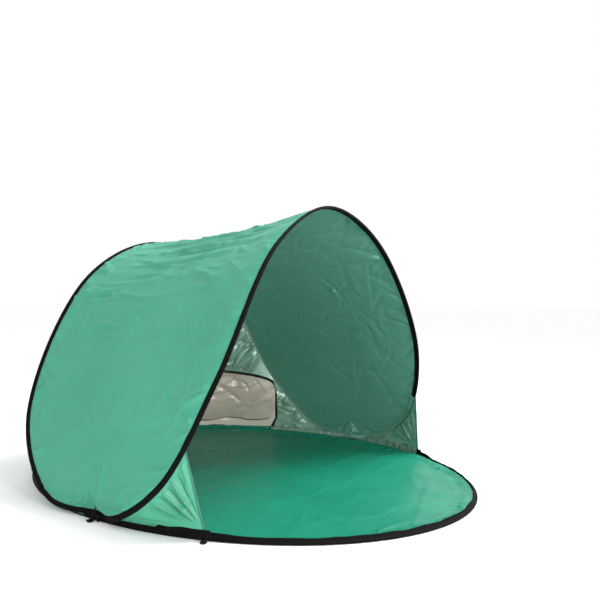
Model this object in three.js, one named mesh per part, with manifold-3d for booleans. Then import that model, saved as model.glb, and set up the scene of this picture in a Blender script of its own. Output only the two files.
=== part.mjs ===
// A pop-up beach tent, standing open.
// Two closed spring-wire hoops carry it: an oval floor hoop, and a longer canopy hoop that arches over the
// floor and touches the floor hoop at its left and right.
// Millimetres, +Z up, width along X, the open front towards -Y.
// The origin is on the ground under the middle of the floor.

import * as THREE from "three";
import { mergeVertices } from "three/addons/utils/BufferGeometryUtils.js";
import Module from "manifold-3d";

const wasm = await Module();
wasm.setup();

// ---- Driving dimensions -------------------------------------------------------------------------------

// The floor, across its binding
const FLOOR_WIDTH = 1650;
const FLOOR_LENGTH = 2000;
const REAR_TAPER = 0.09; // how much narrower than an ellipse the floor's back is

// The canopy hoop's wire: its right half, from the top of the front arch round to the top of the rear arch
const CANOPY_KEYS = [
  [0, -445, 1055], // top of the front arch
  [340, -465, 920], // front shoulder
  [660, -480, 495], // front flank
  [800, -375, 175], // front knee
  [835, -185, 30], // front end of the foot
  [815, -70, 20], // foot, tied to the floor hoop
  [850, 175, 40], // rear end of the foot
  [760, 410, 300], // rear flank
  [405, 475, 815], // rear shoulder
  [0, 480, 970], // top of the rear arch
];
const CANOPY_SAG = 36; // how far the ridge dips below a straight line between the two arches

// The two hoops are cut into equal stations, which every piece that meets a hoop shares.
const CANOPY_STATIONS = 88; // 0 at the top of the front arch, 22 at the right foot, 44 at the top of the rear arch
const FLOOR_STATIONS = 64; // 0 at the right, 16 at the rear
const REAR_TOP = CANOPY_STATIONS / 2;
const RIGHT_FOOT = CANOPY_STATIONS / 4;
const LAST_ROW = 18; // the last row of the canopy that runs from front to rear, before its round end

// Fabric and wire
const FABRIC = 1.2;
const WIRE_RADIUS = 1.5;
const FERRULE_BORE = 1.8;
const FERRULE_RADIUS = 2.3;
const FERRULE_LENGTH = 26;
const WIRE_END_GAP = 0.01; // in stations

// The binding: tape folded round the wire and over the edge of the fabric
const FOLD_RADIUS = 5; // outside of the fold
const POCKET_RADIUS = 3.2; // inside of the fold, round the wire
const LEG_REACH = 18; // from the wire to the edge of the tape
const LEG_OUTSIDE = 2.6; // half the folded tape's thickness
const SLOT_HALF = 1.4; // half the slot that holds the fabric
const PANEL_INSET = 6; // from the wire to the edge of the fabric in the slot
const PANEL_CLEAR = 20; // from the wire to the first line of fabric outside the slot
const SEAM_CLEAR = 9.5; // from a wire to the edge of a wall or a gusset that is sewn to the binding

// Where the canopy hoop rests on the floor hoop, and where the front gussets end, as angles round the floor
const FOOT_ANGLE = -3.4;
const GUSSET_ANGLE = -28.8;
const GUSSET_FOOT = 20.4; // canopy station at the back of a gusset, near the hoops' contact
const GUSSET_TOP = 15; // canopy station at the top of a gusset's free edge

// The rear wall is measured in millimetres sideways from its middle and up from the floor hoop.
const WALL_PITCH = 71; // millimetres of wall to one canopy station
const WALL_SPREAD = 1.2; // how the wall's threads fan out from the feet towards the middle
const WALL_END = 25.5; // canopy station where the wall's seams meet beside the foot

// The window's zip, an arch that stands on the floor seam
const ZIP_TOP = 413; // height of its middle
const ZIP_SHOULDER = [923, 291]; // where the round corner starts
const ZIP_SIDE = 1030; // half the width between its straight sides
const ZIP_CORNER_HEIGHT = 263; // height of the point that the round corner bends towards
const ZIP_SIDE_TOP = 225;
const ZIP_SIDE_FOOT = 70;
const ZIP_FOOT = [996, 15];
const ZIP_GAP = 1; // from the zip's line to the edge of either half
const ZIP_HALF_WIDTH = 6.4;
const ZIP_THICKNESS = 1.6;
const ZIP_CLEAR = 9.4; // from the zip's line to the fabric on either side
const MESH_DROP = 4; // the mesh hangs this far inside the flap
const SEAM_RISE = 9.5; // lower edge of the mesh and the flap above the floor wire

// The zip's slider and pull
const SLIDER_HEIGHT = 110; // up the right side of the zip
const SLIDER_LENGTH = 11;
const SLIDER_WIDTH = 8;
const SLIDER_CHANNEL = 2.1; // half the space between its plates
const SLIDER_PLATE = 1.1;
const SLIDER_WEB = 1.1;
const CROWN_RISE = 2.6; // from the outer plate to the middle of the crown's bar
const CROWN_BAR = 0.7; // radius
const CROWN_SPAN = 4.4; // between its posts
const CROWN_POST = 1;
const CROWN_DEPTH = 1.8; // of each post, along the zip
const PULL_EYE_INSIDE = 1.1;
const PULL_EYE_OUTSIDE = 2.1;
const PULL_EYE_WIDTH = 3.4;
const PULL_NECK = 2.8;
const PULL_NECK_LENGTH = 4;
const PULL_LENGTH = 24;
const PULL_WIDTH = 6;
const PULL_THICKNESS = 1.2;

// Webbing
const WEBBING = 1.3;
const LOOP_WIDTH = 18;
const LOOP_REACH = 26;
const LOOP_HEIGHT = 8;
const REAR_LOOP_ANGLE = 58;
const TAB_WIDTH = 34;
const TAB_HEIGHT = 15;
const TAB_TOP = 0.35; // its top's width, as a share of its foot's
const TAB_SET_BACK = 2.7; // from the floor's wire out to the tab
const TIE_WIDTH = 22;
const TIE_GAP = 0.6;
const TIE_FOOT = 1; // off the ground
const TIE_REACH = 1; // the upper half of a hoop tie stands this much further out than the lower half

// ---- Materials ----------------------------------------------------------------------------------------

const standard = (color, roughness, metalness) => new THREE.MeshStandardMaterial({ color, roughness, metalness });
const canopyFabric = () => standard("#5cb294", 0.55, 0);
const floorFabric = () => standard("#2f9c80", 0.55, 0);
const wallFabric = () => standard("#96beaa", 0.6, 0);
const meshFabric = () => standard("#8d8a83", 0.8, 0);
const blackTape = () => standard("#1b1815", 0.8, 0);
const springSteel = () => standard("#a5a8aa", 0.35, 1);
const blackMetal = () => standard("#26262a", 0.4, 0.6);

// ---- Helpers ------------------------------------------------------------------------------------------

const vec = (x, y, z) => new THREE.Vector3(x, y, z);
const mix = (a, b, t) => a + (b - a) * t;
const between = (a, b, t) => a.clone().lerp(b, t);
const along = (point, direction, distance) => point.clone().addScaledVector(direction, distance);
const mirrored = (v) => vec(-v.x, v.y, v.z);
const inSteps = (count, from, to) => Array.from({ length: count + 1 }, (_, i) => mix(from, to, i / count));

// A geometry with each of its points moved to place(point), as one closed surface.
function bend(geometry, place) {
  const position = geometry.getAttribute("position");
  for (let i = 0; i < position.count; i += 1) {
    const moved = place(new THREE.Vector3().fromBufferAttribute(position, i));
    position.setXYZ(i, moved.x, moved.y, moved.z);
  }
  geometry.deleteAttribute("normal");
  geometry.deleteAttribute("uv");
  const merged = mergeVertices(geometry, 1e-3);
  merged.computeVertexNormals();
  return merged;
}

// Cuts one square of a geometry, six numbers of its index from first, along its other diagonal.
// The two faces of a thin sheet need the same diagonals, or a twisted square would cross itself.
function turnDiagonal(geometry, first, corners) {
  const [a, b, c, d] = corners.map((n) => geometry.index.getX(first + n));
  [a, b, c, a, c, d].forEach((vertex, n) => geometry.index.setX(first + n, vertex));
}

// A sheet of one thickness over surface(u, v), with u and v from 0 to 1.
function sheetGeometry(columns, rows, thickness, surface) {
  const step = 1e-3;
  const slope = (u, v, du, dv) => surface(u + du, v + dv).sub(surface(u - du, v - dv));
  const box = new THREE.BoxGeometry(1, 1, 1, columns, rows, 1);
  const back = box.groups[5];
  for (let square = 0; square < back.count; square += 6) turnDiagonal(box, back.start + square, [0, 1, 4, 2]);
  return bend(box, (p) => {
    const u = p.x + 0.5;
    const v = p.y + 0.5;
    const inU = Math.min(Math.max(u, step), 1 - step);
    const inV = Math.min(Math.max(v, step), 1 - step);
    const normal = slope(inU, inV, step, 0).cross(slope(inU, inV, 0, step)).normalize();
    return along(surface(u, v), normal, p.z * thickness);
  });
}

// A turned solid, with the same diagonals on the two sides of the outline.
function turnedGeometry(points, stations, turnsOutwards) {
  const lathe = new THREE.LatheGeometry(points, stations);
  for (let square = 0; square < lathe.index.count / 6; square += 1) {
    const at = square % (points.length - 1);
    if (points[at + 1].x > points[at].x === turnsOutwards) turnDiagonal(lathe, 6 * square, [0, 1, 3, 2]);
  }
  return lathe;
}

// A closed ring: the outline is in millimetres, first inwards from the hoop's wire and then across it.
function ringGeometry(outline, stations, frame) {
  const offset = 100;
  const points = outline.map(([inwards, across]) => new THREE.Vector2(offset + inwards, across));
  return bend(turnedGeometry([...points, points[0]], stations, false), (p) => {
    const at = frame(Math.round((Math.atan2(p.x, p.z) / (2 * Math.PI)) * stations));
    return along(along(at.point, at.inward, Math.hypot(p.x, p.z) - offset), at.normal, p.y);
  });
}

// A disc whose rim runs round a hoop. Its rings are numbered from 0 in the middle.
function discGeometry(rings, stations, place) {
  const radii = inSteps(rings, 0, rings);
  const below = radii.map((r) => new THREE.Vector2(r, -0.5));
  const above = radii.reverse().map((r) => new THREE.Vector2(r, 0.5));
  const disc = turnedGeometry([...below, ...above], stations, true);
  const turns = disc.getAttribute("uv");
  const stationOf = Array.from({ length: turns.count }, (_, i) => Math.round(turns.getX(i) * stations));
  let index = 0;
  return bend(disc, (p) => {
    const station = stationOf[index];
    index += 1;
    return place(Math.round(Math.hypot(p.x, p.z)), station, p.y);
  });
}

// A round rod through the given stations of a hoop.
function rodGeometry(radius, sides, stops, frame) {
  const steps = stops.length - 1;
  return bend(new THREE.CylinderGeometry(radius, radius, steps, sides, steps), (p) => {
    const at = frame(stops[Math.round(p.y + steps / 2)]);
    return along(along(at.point, at.normal, p.x), at.inward, p.z);
  });
}

// Joins solids with a boolean.
function joined(...geometries) {
  const solids = geometries.map((geometry) => {
    const bare = geometry.clone();
    bare.deleteAttribute("normal");
    bare.deleteAttribute("uv");
    const merged = mergeVertices(bare, 1e-3);
    const vertProperties = merged.getAttribute("position").array;
    const triVerts = new Uint32Array(merged.index.array);
    return new wasm.Manifold(new wasm.Mesh({ numProp: 3, vertProperties, triVerts }));
  });
  const whole = solids.reduce((sum, solid) => sum.add(solid)).getMesh();
  const geometry = new THREE.BufferGeometry();
  geometry.setAttribute("position", new THREE.BufferAttribute(whole.vertProperties, 3));
  geometry.setIndex(new THREE.BufferAttribute(whole.triVerts, 1));
  geometry.computeVertexNormals();
  return geometry;
}

const model = new THREE.Group();

function add(name, geometry, material, matrix) {
  const mesh = new THREE.Mesh(geometry, material);
  mesh.name = name;
  if (matrix) matrix.decompose(mesh.position, mesh.quaternion, mesh.scale);
  model.add(mesh);
}

// A matrix that puts a piece's own axes along three directions at a point.
const placed = (x, y, z, point) => new THREE.Matrix4().makeBasis(x, y, z).setPosition(point);

// ---- The hoops ----------------------------------------------------------------------------------------

const rightKeys = CANOPY_KEYS.map((key) => vec(...key));
const leftKeys = rightKeys.slice(1, -1).reverse().map(mirrored);
const canopyWire = new THREE.CatmullRomCurve3([...rightKeys, ...leftKeys], true, "centripetal");
canopyWire.arcLengthDivisions = 2000;

// A station counted from 0, rounded so that the same place always gives the same number.
const stationRound = (station) =>
  Number(THREE.MathUtils.euclideanModulo(station, CANOPY_STATIONS).toFixed(6)) % CANOPY_STATIONS;
const onCanopyWire = (station) => canopyWire.getPointAt(stationRound(station) / CANOPY_STATIONS);

// One row of the canopy, from the front arch to the rear arch, on the right. row is 0 at the ridge.
function canopyRow(row) {
  const front = onCanopyWire(row);
  const rear = onCanopyWire(REAR_TOP - row);
  return { middle: between(front, rear, 0.5), across: rear.sub(front) };
}

function canopySpine(row) {
  const { middle, across } = canopyRow(row);
  const outward = canopyRow(row + 0.5)
    .middle.sub(canopyRow(row - 0.5).middle)
    .cross(across)
    .normalize();
  const sag = CANOPY_SAG * Math.cos(((row / RIGHT_FOOT) * Math.PI) / 2) ** 2;
  return { middle, outward, sag };
}

// At a canopy station: the wire, the way into the fabric, the way out of the tent, and the row behind it.
function canopyFrame(station) {
  const around = stationRound(station);
  if (around > REAR_TOP) {
    const { point, inward, normal, middle, outward, sag } = canopyFrame(CANOPY_STATIONS - around);
    return {
      point: mirrored(point),
      inward: mirrored(inward),
      normal: mirrored(normal),
      middle: mirrored(middle),
      outward: mirrored(outward),
      sag,
    };
  }
  const point = onCanopyWire(around);
  const tangent = canopyWire.getTangentAt(around / CANOPY_STATIONS);
  const spine = canopySpine(Math.min(around, REAR_TOP - around, LAST_ROW));
  // A sagging row leaves the hoop towards a point twice as low as its middle.
  const inward = along(spine.middle, spine.outward, -2 * spine.sag).sub(point);
  inward.addScaledVector(tangent, -inward.dot(tangent)).normalize();
  return { point, inward, normal: tangent.clone().cross(inward), ...spine };
}

function floorPoint(degrees) {
  const angle = THREE.MathUtils.degToRad(degrees);
  const rearward = Math.max(Math.sin(angle), 0);
  const halfWidth = (FLOOR_WIDTH / 2 - FOLD_RADIUS) * (1 - REAR_TAPER * rearward ** 2);
  const halfLength = FLOOR_LENGTH / 2 - FOLD_RADIUS;
  return vec(halfWidth * Math.cos(angle), halfLength * Math.sin(angle), FOLD_RADIUS);
}

function floorFrameAt(degrees) {
  const tangent = floorPoint(degrees + 0.1).sub(floorPoint(degrees - 0.1)).normalize();
  const normal = vec(0, 0, 1);
  return { point: floorPoint(degrees), tangent, inward: normal.clone().cross(tangent), normal };
}

const floorFrame = (station) => floorFrameAt((station / FLOOR_STATIONS) * 360);

// The folded tape's section, a U that is open towards the fabric.
function bindingOutline() {
  const arc = (radius, from, to) =>
    inSteps(4, from, to).map((degrees) => {
      const angle = THREE.MathUtils.degToRad(degrees);
      return [radius * Math.cos(angle), radius * Math.sin(angle)];
    });
  const outside = THREE.MathUtils.radToDeg(Math.asin(LEG_OUTSIDE / FOLD_RADIUS));
  const inside = THREE.MathUtils.radToDeg(Math.asin(SLOT_HALF / POCKET_RADIUS));
  return [
    [LEG_REACH, SLOT_HALF],
    ...arc(POCKET_RADIUS, inside, 360 - inside),
    [LEG_REACH, -SLOT_HALF],
    [LEG_REACH, -LEG_OUTSIDE],
    ...arc(FOLD_RADIUS, 360 - outside, outside),
    [LEG_REACH, LEG_OUTSIDE],
  ];
}

// The wire runs once round its hoop. Its ends meet halfway between two stations, inside a ferrule.
function addWire(name, stations, meeting, frame) {
  const first = meeting + 0.5;
  const whole = inSteps(stations - 1, first + 0.5, first + stations - 0.5);
  const chord = frame(first + 0.5).point.sub(frame(first - 0.5).point);
  const centre = along(frame(first - 0.5).point, chord, 0.5);
  const { inward, normal } = frame(first);
  const half = (share) => ({ point: along(centre, chord, share), inward, normal });
  const stops = [first + WIRE_END_GAP, ...whole, first + stations - WIRE_END_GAP];
  const onWire = (stop) => {
    if (stop === stops[0]) return half(WIRE_END_GAP);
    if (stop === stops.at(-1)) return half(-WIRE_END_GAP);
    return frame(stop);
  };
  add(name, rodGeometry(WIRE_RADIUS, 6, stops, onWire), springSteel());

  const sleeve = new THREE.LatheGeometry(
    [
      new THREE.Vector2(FERRULE_BORE, -FERRULE_LENGTH / 2),
      new THREE.Vector2(FERRULE_RADIUS, -FERRULE_LENGTH / 2),
      new THREE.Vector2(FERRULE_RADIUS, FERRULE_LENGTH / 2),
      new THREE.Vector2(FERRULE_BORE, FERRULE_LENGTH / 2),
      new THREE.Vector2(FERRULE_BORE, -FERRULE_LENGTH / 2),
    ],
    12,
  );
  const y = chord.clone().normalize();
  const x = inward.clone().addScaledVector(y, -inward.dot(y)).normalize();
  add(name + "_ferrule", sleeve, springSteel(), placed(x, y, x.clone().cross(y), centre));
}

// ---- Canopy -------------------------------------------------------------------------------------------

// The canopy is one oval panel. Its first ring lies in the binding's slot, and the rest sag to the spine.
const CANOPY_RINGS = [1, 0.8, 0.55, 0.3, 0]; // how far each ring has come from the slot to the spine

function canopyPanelPoint(ring, station, layer) {
  const at = canopyFrame(station);
  if (ring === CANOPY_RINGS.length) {
    return along(along(at.point, at.inward, PANEL_INSET), at.normal, layer * FABRIC);
  }
  const share = CANOPY_RINGS[ring];
  const start = along(at.point, at.inward, PANEL_CLEAR);
  const end = along(at.middle, at.outward, -at.sag);
  const chordDrop = at.sag * share * (1 - share);
  const point = along(between(start, end, share), at.outward, -chordDrop);
  const out = between(at.normal, at.outward, share).normalize();
  return along(point, out, layer * FABRIC);
}

function addCanopy() {
  const panel = discGeometry(CANOPY_RINGS.length, CANOPY_STATIONS, canopyPanelPoint);
  add("canopy_panel", panel, canopyFabric());
  add("canopy_binding", ringGeometry(bindingOutline(), CANOPY_STATIONS, canopyFrame), blackTape());
  addWire("canopy_hoop", CANOPY_STATIONS, REAR_TOP, canopyFrame);
}

// ---- Floor --------------------------------------------------------------------------------------------

// The floor lies flat on the ground and rises at its rim into the binding's slot.
const FLOOR_RINGS = [
  { inset: 70, height: 0 },
  { inset: PANEL_CLEAR, height: 1 },
  { inset: PANEL_INSET, height: 1 },
];

function floorPanelPoint(ring, station, layer) {
  const flat = FABRIC / 2;
  if (ring === 0) return vec(0, 0, flat + layer * FABRIC);
  const { inset, height } = FLOOR_RINGS[ring - 1];
  const at = floorFrame(station);
  const point = along(at.point, at.inward, inset);
  point.z = mix(flat, FOLD_RADIUS, height) + layer * FABRIC;
  return point;
}

function addFloor() {
  const panel = discGeometry(FLOOR_RINGS.length, FLOOR_STATIONS, floorPanelPoint);
  add("floor_panel", panel, floorFabric());
  add("floor_binding", ringGeometry(bindingOutline(), FLOOR_STATIONS, floorFrame), blackTape());
  addWire("floor_hoop", FLOOR_STATIONS, FLOOR_STATIONS / 4, floorFrame);
}

// ---- Gussets ------------------------------------------------------------------------------------------

// A gusset fills the corner between the front arch and the floor hoop, up to its free front edge.
function gussetPoint(u, v) {
  const station = mix(GUSSET_FOOT, GUSSET_TOP, u);
  const share = (RIGHT_FOOT - station) / (RIGHT_FOOT - GUSSET_TOP);
  const top = canopyFrame(station).point;
  const foot = floorPoint(mix(FOOT_ANGLE, GUSSET_ANGLE, share));
  const height = top.distanceTo(foot);
  return between(foot, top, mix(SEAM_CLEAR, height - SEAM_CLEAR, v) / height);
}

function addGusset(side, mirror) {
  const surface = (u, v) => {
    const point = gussetPoint(mirror ? 1 - u : u, v);
    return mirror ? mirrored(point) : point;
  };
  add(side + "_gusset", sheetGeometry(8, 3, FABRIC, surface), wallFabric());
}

// ---- Rear wall and window -----------------------------------------------------------------------------

// A thread of the rear wall's right half, from the floor hoop up to a canopy station.
function wallThread(station) {
  const share = Math.max(station - RIGHT_FOOT, 0) / RIGHT_FOOT;
  const degrees = mix(FOOT_ANGLE, 90, share ** WALL_SPREAD);
  const foot = floorPoint(degrees);
  const top = onCanopyWire(station);
  const height = foot.distanceTo(top);
  const direction = top.sub(foot).normalize();
  const clearOf = (tangent) => SEAM_CLEAR / direction.clone().cross(tangent).length();
  const low = clearOf(floorFrameAt(degrees).tangent);
  const high = height - clearOf(canopyWire.getTangentAt(station / CANOPY_STATIONS));
  return { foot, direction, low, high };
}

const wallStation = (sideways) => REAR_TOP - Math.abs(sideways) / WALL_PITCH;
const wallLow = (sideways) => wallThread(wallStation(sideways)).low;

// A point of the rear wall: sideways from its middle, up from the floor wire.
function wallPoint(sideways, up) {
  const { foot, direction } = wallThread(wallStation(sideways));
  const point = along(foot, direction, up);
  return sideways < 0 ? mirrored(point) : point;
}

function wallNormal(sideways, up) {
  const across = wallPoint(sideways + 1, up).sub(wallPoint(sideways - 1, up));
  const upwards = wallPoint(sideways, up + 1).sub(wallPoint(sideways, up - 1));
  return upwards.cross(across).normalize();
}

const lifted = (sideways, up, lift) => along(wallPoint(sideways, up), wallNormal(sideways, up), lift);

// The right half of the zip, from the top of the arch down to its foot.
const zipPath = new THREE.Path()
  .moveTo(0, ZIP_TOP)
  .quadraticCurveTo(ZIP_SHOULDER[0] / 2, ZIP_TOP, ...ZIP_SHOULDER)
  .quadraticCurveTo(ZIP_SIDE, ZIP_CORNER_HEIGHT, ZIP_SIDE, ZIP_SIDE_TOP)
  .lineTo(ZIP_SIDE, ZIP_SIDE_FOOT)
  .lineTo(...ZIP_FOOT);

// The columns that the wall, the window and both halves of the zip share, as shares of the zip's length.
const [toShoulder, toSideTop, toSideFoot, toFoot] = zipPath.getCurveLengths();
const TOP_COLUMNS = 10;
const CORNER_COLUMNS = 4;
const SIDE_COLUMNS = 3;
const zipStops = [
  ...inSteps(TOP_COLUMNS, 0, toShoulder),
  ...inSteps(CORNER_COLUMNS, toShoulder, toSideTop).slice(1),
  ...inSteps(SIDE_COLUMNS, toSideTop, toSideFoot).slice(1),
  toFoot,
].map((length) => length / toFoot);
const ZIP_COLUMNS = zipStops.length - 1;
const CORNER_COLUMN = TOP_COLUMNS + CORNER_COLUMNS / 2;

// At each column, a point of the zip and the way out from the window, mitred where the zip turns.
const zipColumns = zipStops.map((share) => {
  const tangentNear = (step) => zipPath.getTangentAt(Math.min(Math.max(share + step, 0), 1));
  const before = tangentNear(-0.002);
  const turned = before.clone().add(tangentNear(0.002)).normalize();
  const out = new THREE.Vector2(-turned.y, turned.x).divideScalar(turned.dot(before));
  return { point: zipPath.getPointAt(share), out };
});

// A point beside the zip: the column, counted down one side, and the distance out from the window.
function zipPoint(column, outwards) {
  const before = Math.min(Math.max(Math.floor(column), 0), ZIP_COLUMNS - 1);
  const [from, to] = zipColumns.slice(before).map(({ point, out }) => point.clone().addScaledVector(out, outwards));
  return from.lerp(to, column - before);
}

function mirroredAcross(u, place) {
  const side = u < 0.5 ? -1 : 1;
  const { x, y } = place(Math.abs(2 * u - 1));
  return [side * x, y];
}

// The wall's inner edge follows the zip from its top to its foot, then the floor seam to the hoop's foot.
const SEAM_COLUMNS = 5;
const WALL_COLUMNS = ZIP_COLUMNS + SEAM_COLUMNS;

function wallInnerEdge(column) {
  if (column <= ZIP_COLUMNS) return zipPoint(column, ZIP_CLEAR);
  const out = (column - ZIP_COLUMNS) / SEAM_COLUMNS;
  const sideways = mix(zipPoint(ZIP_COLUMNS, ZIP_CLEAR).x, (REAR_TOP - WALL_END) * WALL_PITCH, out);
  return new THREE.Vector2(sideways, wallLow(sideways));
}

// The canopy stations that the wall's outer edge passes at the ends of the zip's stretches
const WALL_OUTER_STOPS = [
  [0, REAR_TOP],
  [TOP_COLUMNS, 31.5],
  [TOP_COLUMNS + CORNER_COLUMNS, 29.5],
  [ZIP_COLUMNS, 28],
  [WALL_COLUMNS, WALL_END],
];

function wallOuterEdge(column) {
  const next = Math.max(WALL_OUTER_STOPS.findIndex(([stop]) => stop >= column), 1);
  const [from, first] = WALL_OUTER_STOPS[next - 1];
  const [to, last] = WALL_OUTER_STOPS[next];
  const station = mix(first, last, (column - from) / (to - from));
  return new THREE.Vector2((REAR_TOP - station) * WALL_PITCH, wallThread(station).high);
}

function rearWallPoint(u, v) {
  const across = (t) => wallInnerEdge(t * WALL_COLUMNS).lerp(wallOuterEdge(t * WALL_COLUMNS), v);
  return wallPoint(...mirroredAcross(u, across));
}

// A sheet inside the zip's arch. Its sides follow the zip's sides, and its top follows the zip's top.
const ARCH_ROWS = ZIP_COLUMNS - CORNER_COLUMN;

function archSide(rowsUp, inset) {
  if (rowsUp >= 1) return zipPoint(ZIP_COLUMNS - rowsUp, -inset);
  const lowest = zipPoint(ZIP_COLUMNS - 1, -inset);
  const foot = zipPoint(ZIP_COLUMNS, -inset);
  const seam = between(lowest, foot, (SEAM_RISE - lowest.y) / (foot.y - lowest.y));
  return seam.lerp(lowest, rowsUp);
}

function insideArch(u, v, inset, lift) {
  const corner = zipPoint(CORNER_COLUMN, -inset);
  const side = archSide(v * ARCH_ROWS, inset);
  const rise = (side.y - SEAM_RISE) / (corner.y - SEAM_RISE);
  const place = (t) => {
    const top = zipPoint(t * CORNER_COLUMN, -inset);
    return new THREE.Vector2((side.x * top.x) / corner.x, mix(SEAM_RISE, top.y, rise));
  };
  return lifted(...mirroredAcross(u, place), lift);
}

// One half of the zip, from its left foot over the top to its right foot.
function zipHalfPoint(u, v, outside) {
  const near = ZIP_GAP;
  const far = ZIP_GAP + ZIP_HALF_WIDTH;
  const offset = outside ? mix(near, far, v) : mix(-far, -near, v);
  return wallPoint(...mirroredAcross(u, (t) => zipPoint(t * ZIP_COLUMNS, offset)));
}

function addRearWall() {
  add("rear_wall", sheetGeometry(2 * WALL_COLUMNS, 4, FABRIC, rearWallPoint), wallFabric());
  const mesh = (u, v) => insideArch(u, v, ZIP_GAP, -MESH_DROP);
  add("window_mesh", sheetGeometry(2 * CORNER_COLUMN, ARCH_ROWS, FABRIC / 2, mesh), meshFabric());
  const flap = (u, v) => insideArch(u, v, ZIP_CLEAR, 0);
  add("window_flap", sheetGeometry(2 * CORNER_COLUMN, ARCH_ROWS, FABRIC, flap), wallFabric());
  const wallHalf = (u, v) => zipHalfPoint(u, v, true);
  add("zip_wall_half", sheetGeometry(2 * ZIP_COLUMNS, 1, ZIP_THICKNESS, wallHalf), blackTape());
  const flapHalf = (u, v) => zipHalfPoint(u, v, false);
  add("zip_flap_half", sheetGeometry(2 * ZIP_COLUMNS, 1, ZIP_THICKNESS, flapHalf), blackTape());
}

// ---- Zip slider and pull ------------------------------------------------------------------------------

// The slider's own axes: X across the zip, Y up along it, Z out of the tent.
function sliderMatrix() {
  const y = wallPoint(ZIP_SIDE, SLIDER_HEIGHT + 1).sub(wallPoint(ZIP_SIDE, SLIDER_HEIGHT)).normalize();
  const z = wallNormal(ZIP_SIDE, SLIDER_HEIGHT);
  return placed(y.clone().cross(z), y, z, wallPoint(ZIP_SIDE, SLIDER_HEIGHT));
}

function sliderGeometry() {
  const plate = new THREE.BoxGeometry(SLIDER_WIDTH, SLIDER_LENGTH, SLIDER_PLATE);
  const plateHeight = SLIDER_CHANNEL + SLIDER_PLATE / 2;
  const web = new THREE.BoxGeometry(SLIDER_WEB, SLIDER_LENGTH - 2, 2 * plateHeight);
  const barHeight = SLIDER_CHANNEL + SLIDER_PLATE + CROWN_RISE;
  const bar = new THREE.CylinderGeometry(CROWN_BAR, CROWN_BAR, CROWN_SPAN + CROWN_POST, 10);
  bar.rotateZ(Math.PI / 2).translate(0, 0, barHeight);
  const postHeight = CROWN_RISE + CROWN_BAR + SLIDER_PLATE / 2;
  const post = new THREE.BoxGeometry(CROWN_POST, CROWN_DEPTH, postHeight);
  post.translate(0, 0, plateHeight + postHeight / 2);
  const reach = (CROWN_SPAN + CROWN_POST) / 2;
  return joined(
    plate.clone().translate(0, 0, plateHeight),
    plate.clone().translate(0, 0, -plateHeight),
    web,
    bar,
    post.clone().translate(reach, 0, 0),
    post.clone().translate(-reach, 0, 0),
  );
}

// The pull's eye is round the crown's bar, and its tab hangs down.
function pullGeometry() {
  const eye = new THREE.LatheGeometry(
    [
      new THREE.Vector2(PULL_EYE_INSIDE, -PULL_EYE_WIDTH / 2),
      new THREE.Vector2(PULL_EYE_OUTSIDE, -PULL_EYE_WIDTH / 2),
      new THREE.Vector2(PULL_EYE_OUTSIDE, PULL_EYE_WIDTH / 2),
      new THREE.Vector2(PULL_EYE_INSIDE, PULL_EYE_WIDTH / 2),
      new THREE.Vector2(PULL_EYE_INSIDE, -PULL_EYE_WIDTH / 2),
    ],
    16,
  ).rotateZ(Math.PI / 2);
  const neckTop = (PULL_EYE_INSIDE + PULL_EYE_OUTSIDE) / 2;
  const neck = new THREE.BoxGeometry(PULL_NECK, PULL_NECK_LENGTH, PULL_THICKNESS);
  neck.translate(0, -(neckTop + PULL_NECK_LENGTH / 2), 0);
  const radius = PULL_WIDTH / 2;
  const tab = new THREE.Shape()
    .moveTo(-radius, 0)
    .lineTo(radius, 0)
    .lineTo(radius, radius - PULL_LENGTH)
    .absarc(0, radius - PULL_LENGTH, radius, 0, -Math.PI, true)
    .closePath();
  const plate = new THREE.ExtrudeGeometry(tab, { depth: PULL_THICKNESS, bevelEnabled: false, curveSegments: 8 });
  plate.translate(0, -PULL_NECK_LENGTH, -PULL_THICKNESS / 2);
  return joined(eye, neck, plate);
}

function addSlider() {
  const matrix = sliderMatrix();
  add("zip_slider", sliderGeometry(), blackMetal(), matrix);
  const crown = new THREE.Matrix4().makeTranslation(0, 0, SLIDER_CHANNEL + SLIDER_PLATE + CROWN_RISE);
  add("zip_pull", pullGeometry(), blackMetal(), matrix.clone().multiply(crown));
}

// ---- Webbing: hoop ties, gusset tabs and peg loops ----------------------------------------------------

// A piece cut from webbing: an outline drawn outwards and up, standing across the floor binding.
function webbingGeometry(shape, width) {
  const geometry = new THREE.ExtrudeGeometry(shape, { depth: width, bevelEnabled: false, curveSegments: 6 });
  return geometry.translate(0, 0, -width / 2);
}

function webbingMatrix(degrees) {
  const { point, tangent, inward, normal } = floorFrameAt(degrees);
  return placed(inward.clone().negate(), normal, tangent.negate(), point.setZ(0));
}

const pinned = (matrix, mirror) =>
  mirror ? new THREE.Matrix4().makeScale(-1, 1, 1).multiply(matrix) : matrix;

// A peg loop: webbing folded back on itself, sewn to the outside of the binding and lying on the ground.
function pegLoopShape() {
  const radius = LOOP_HEIGHT / 2;
  const start = FOLD_RADIUS + TIE_GAP + WEBBING + TIE_REACH + TIE_GAP;
  const end = start + LOOP_REACH - radius;
  const outline = new THREE.Shape()
    .moveTo(start, 0)
    .lineTo(end, 0)
    .absarc(end, radius, radius, -Math.PI / 2, Math.PI / 2, false)
    .lineTo(start, LOOP_HEIGHT)
    .closePath();
  const eye = new THREE.Path()
    .moveTo(start + WEBBING, WEBBING)
    .lineTo(start + WEBBING, LOOP_HEIGHT - WEBBING)
    .lineTo(end, LOOP_HEIGHT - WEBBING)
    .absarc(end, radius, radius - WEBBING, Math.PI / 2, -Math.PI / 2, true)
    .closePath();
  outline.holes.push(eye);
  return outline;
}

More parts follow.
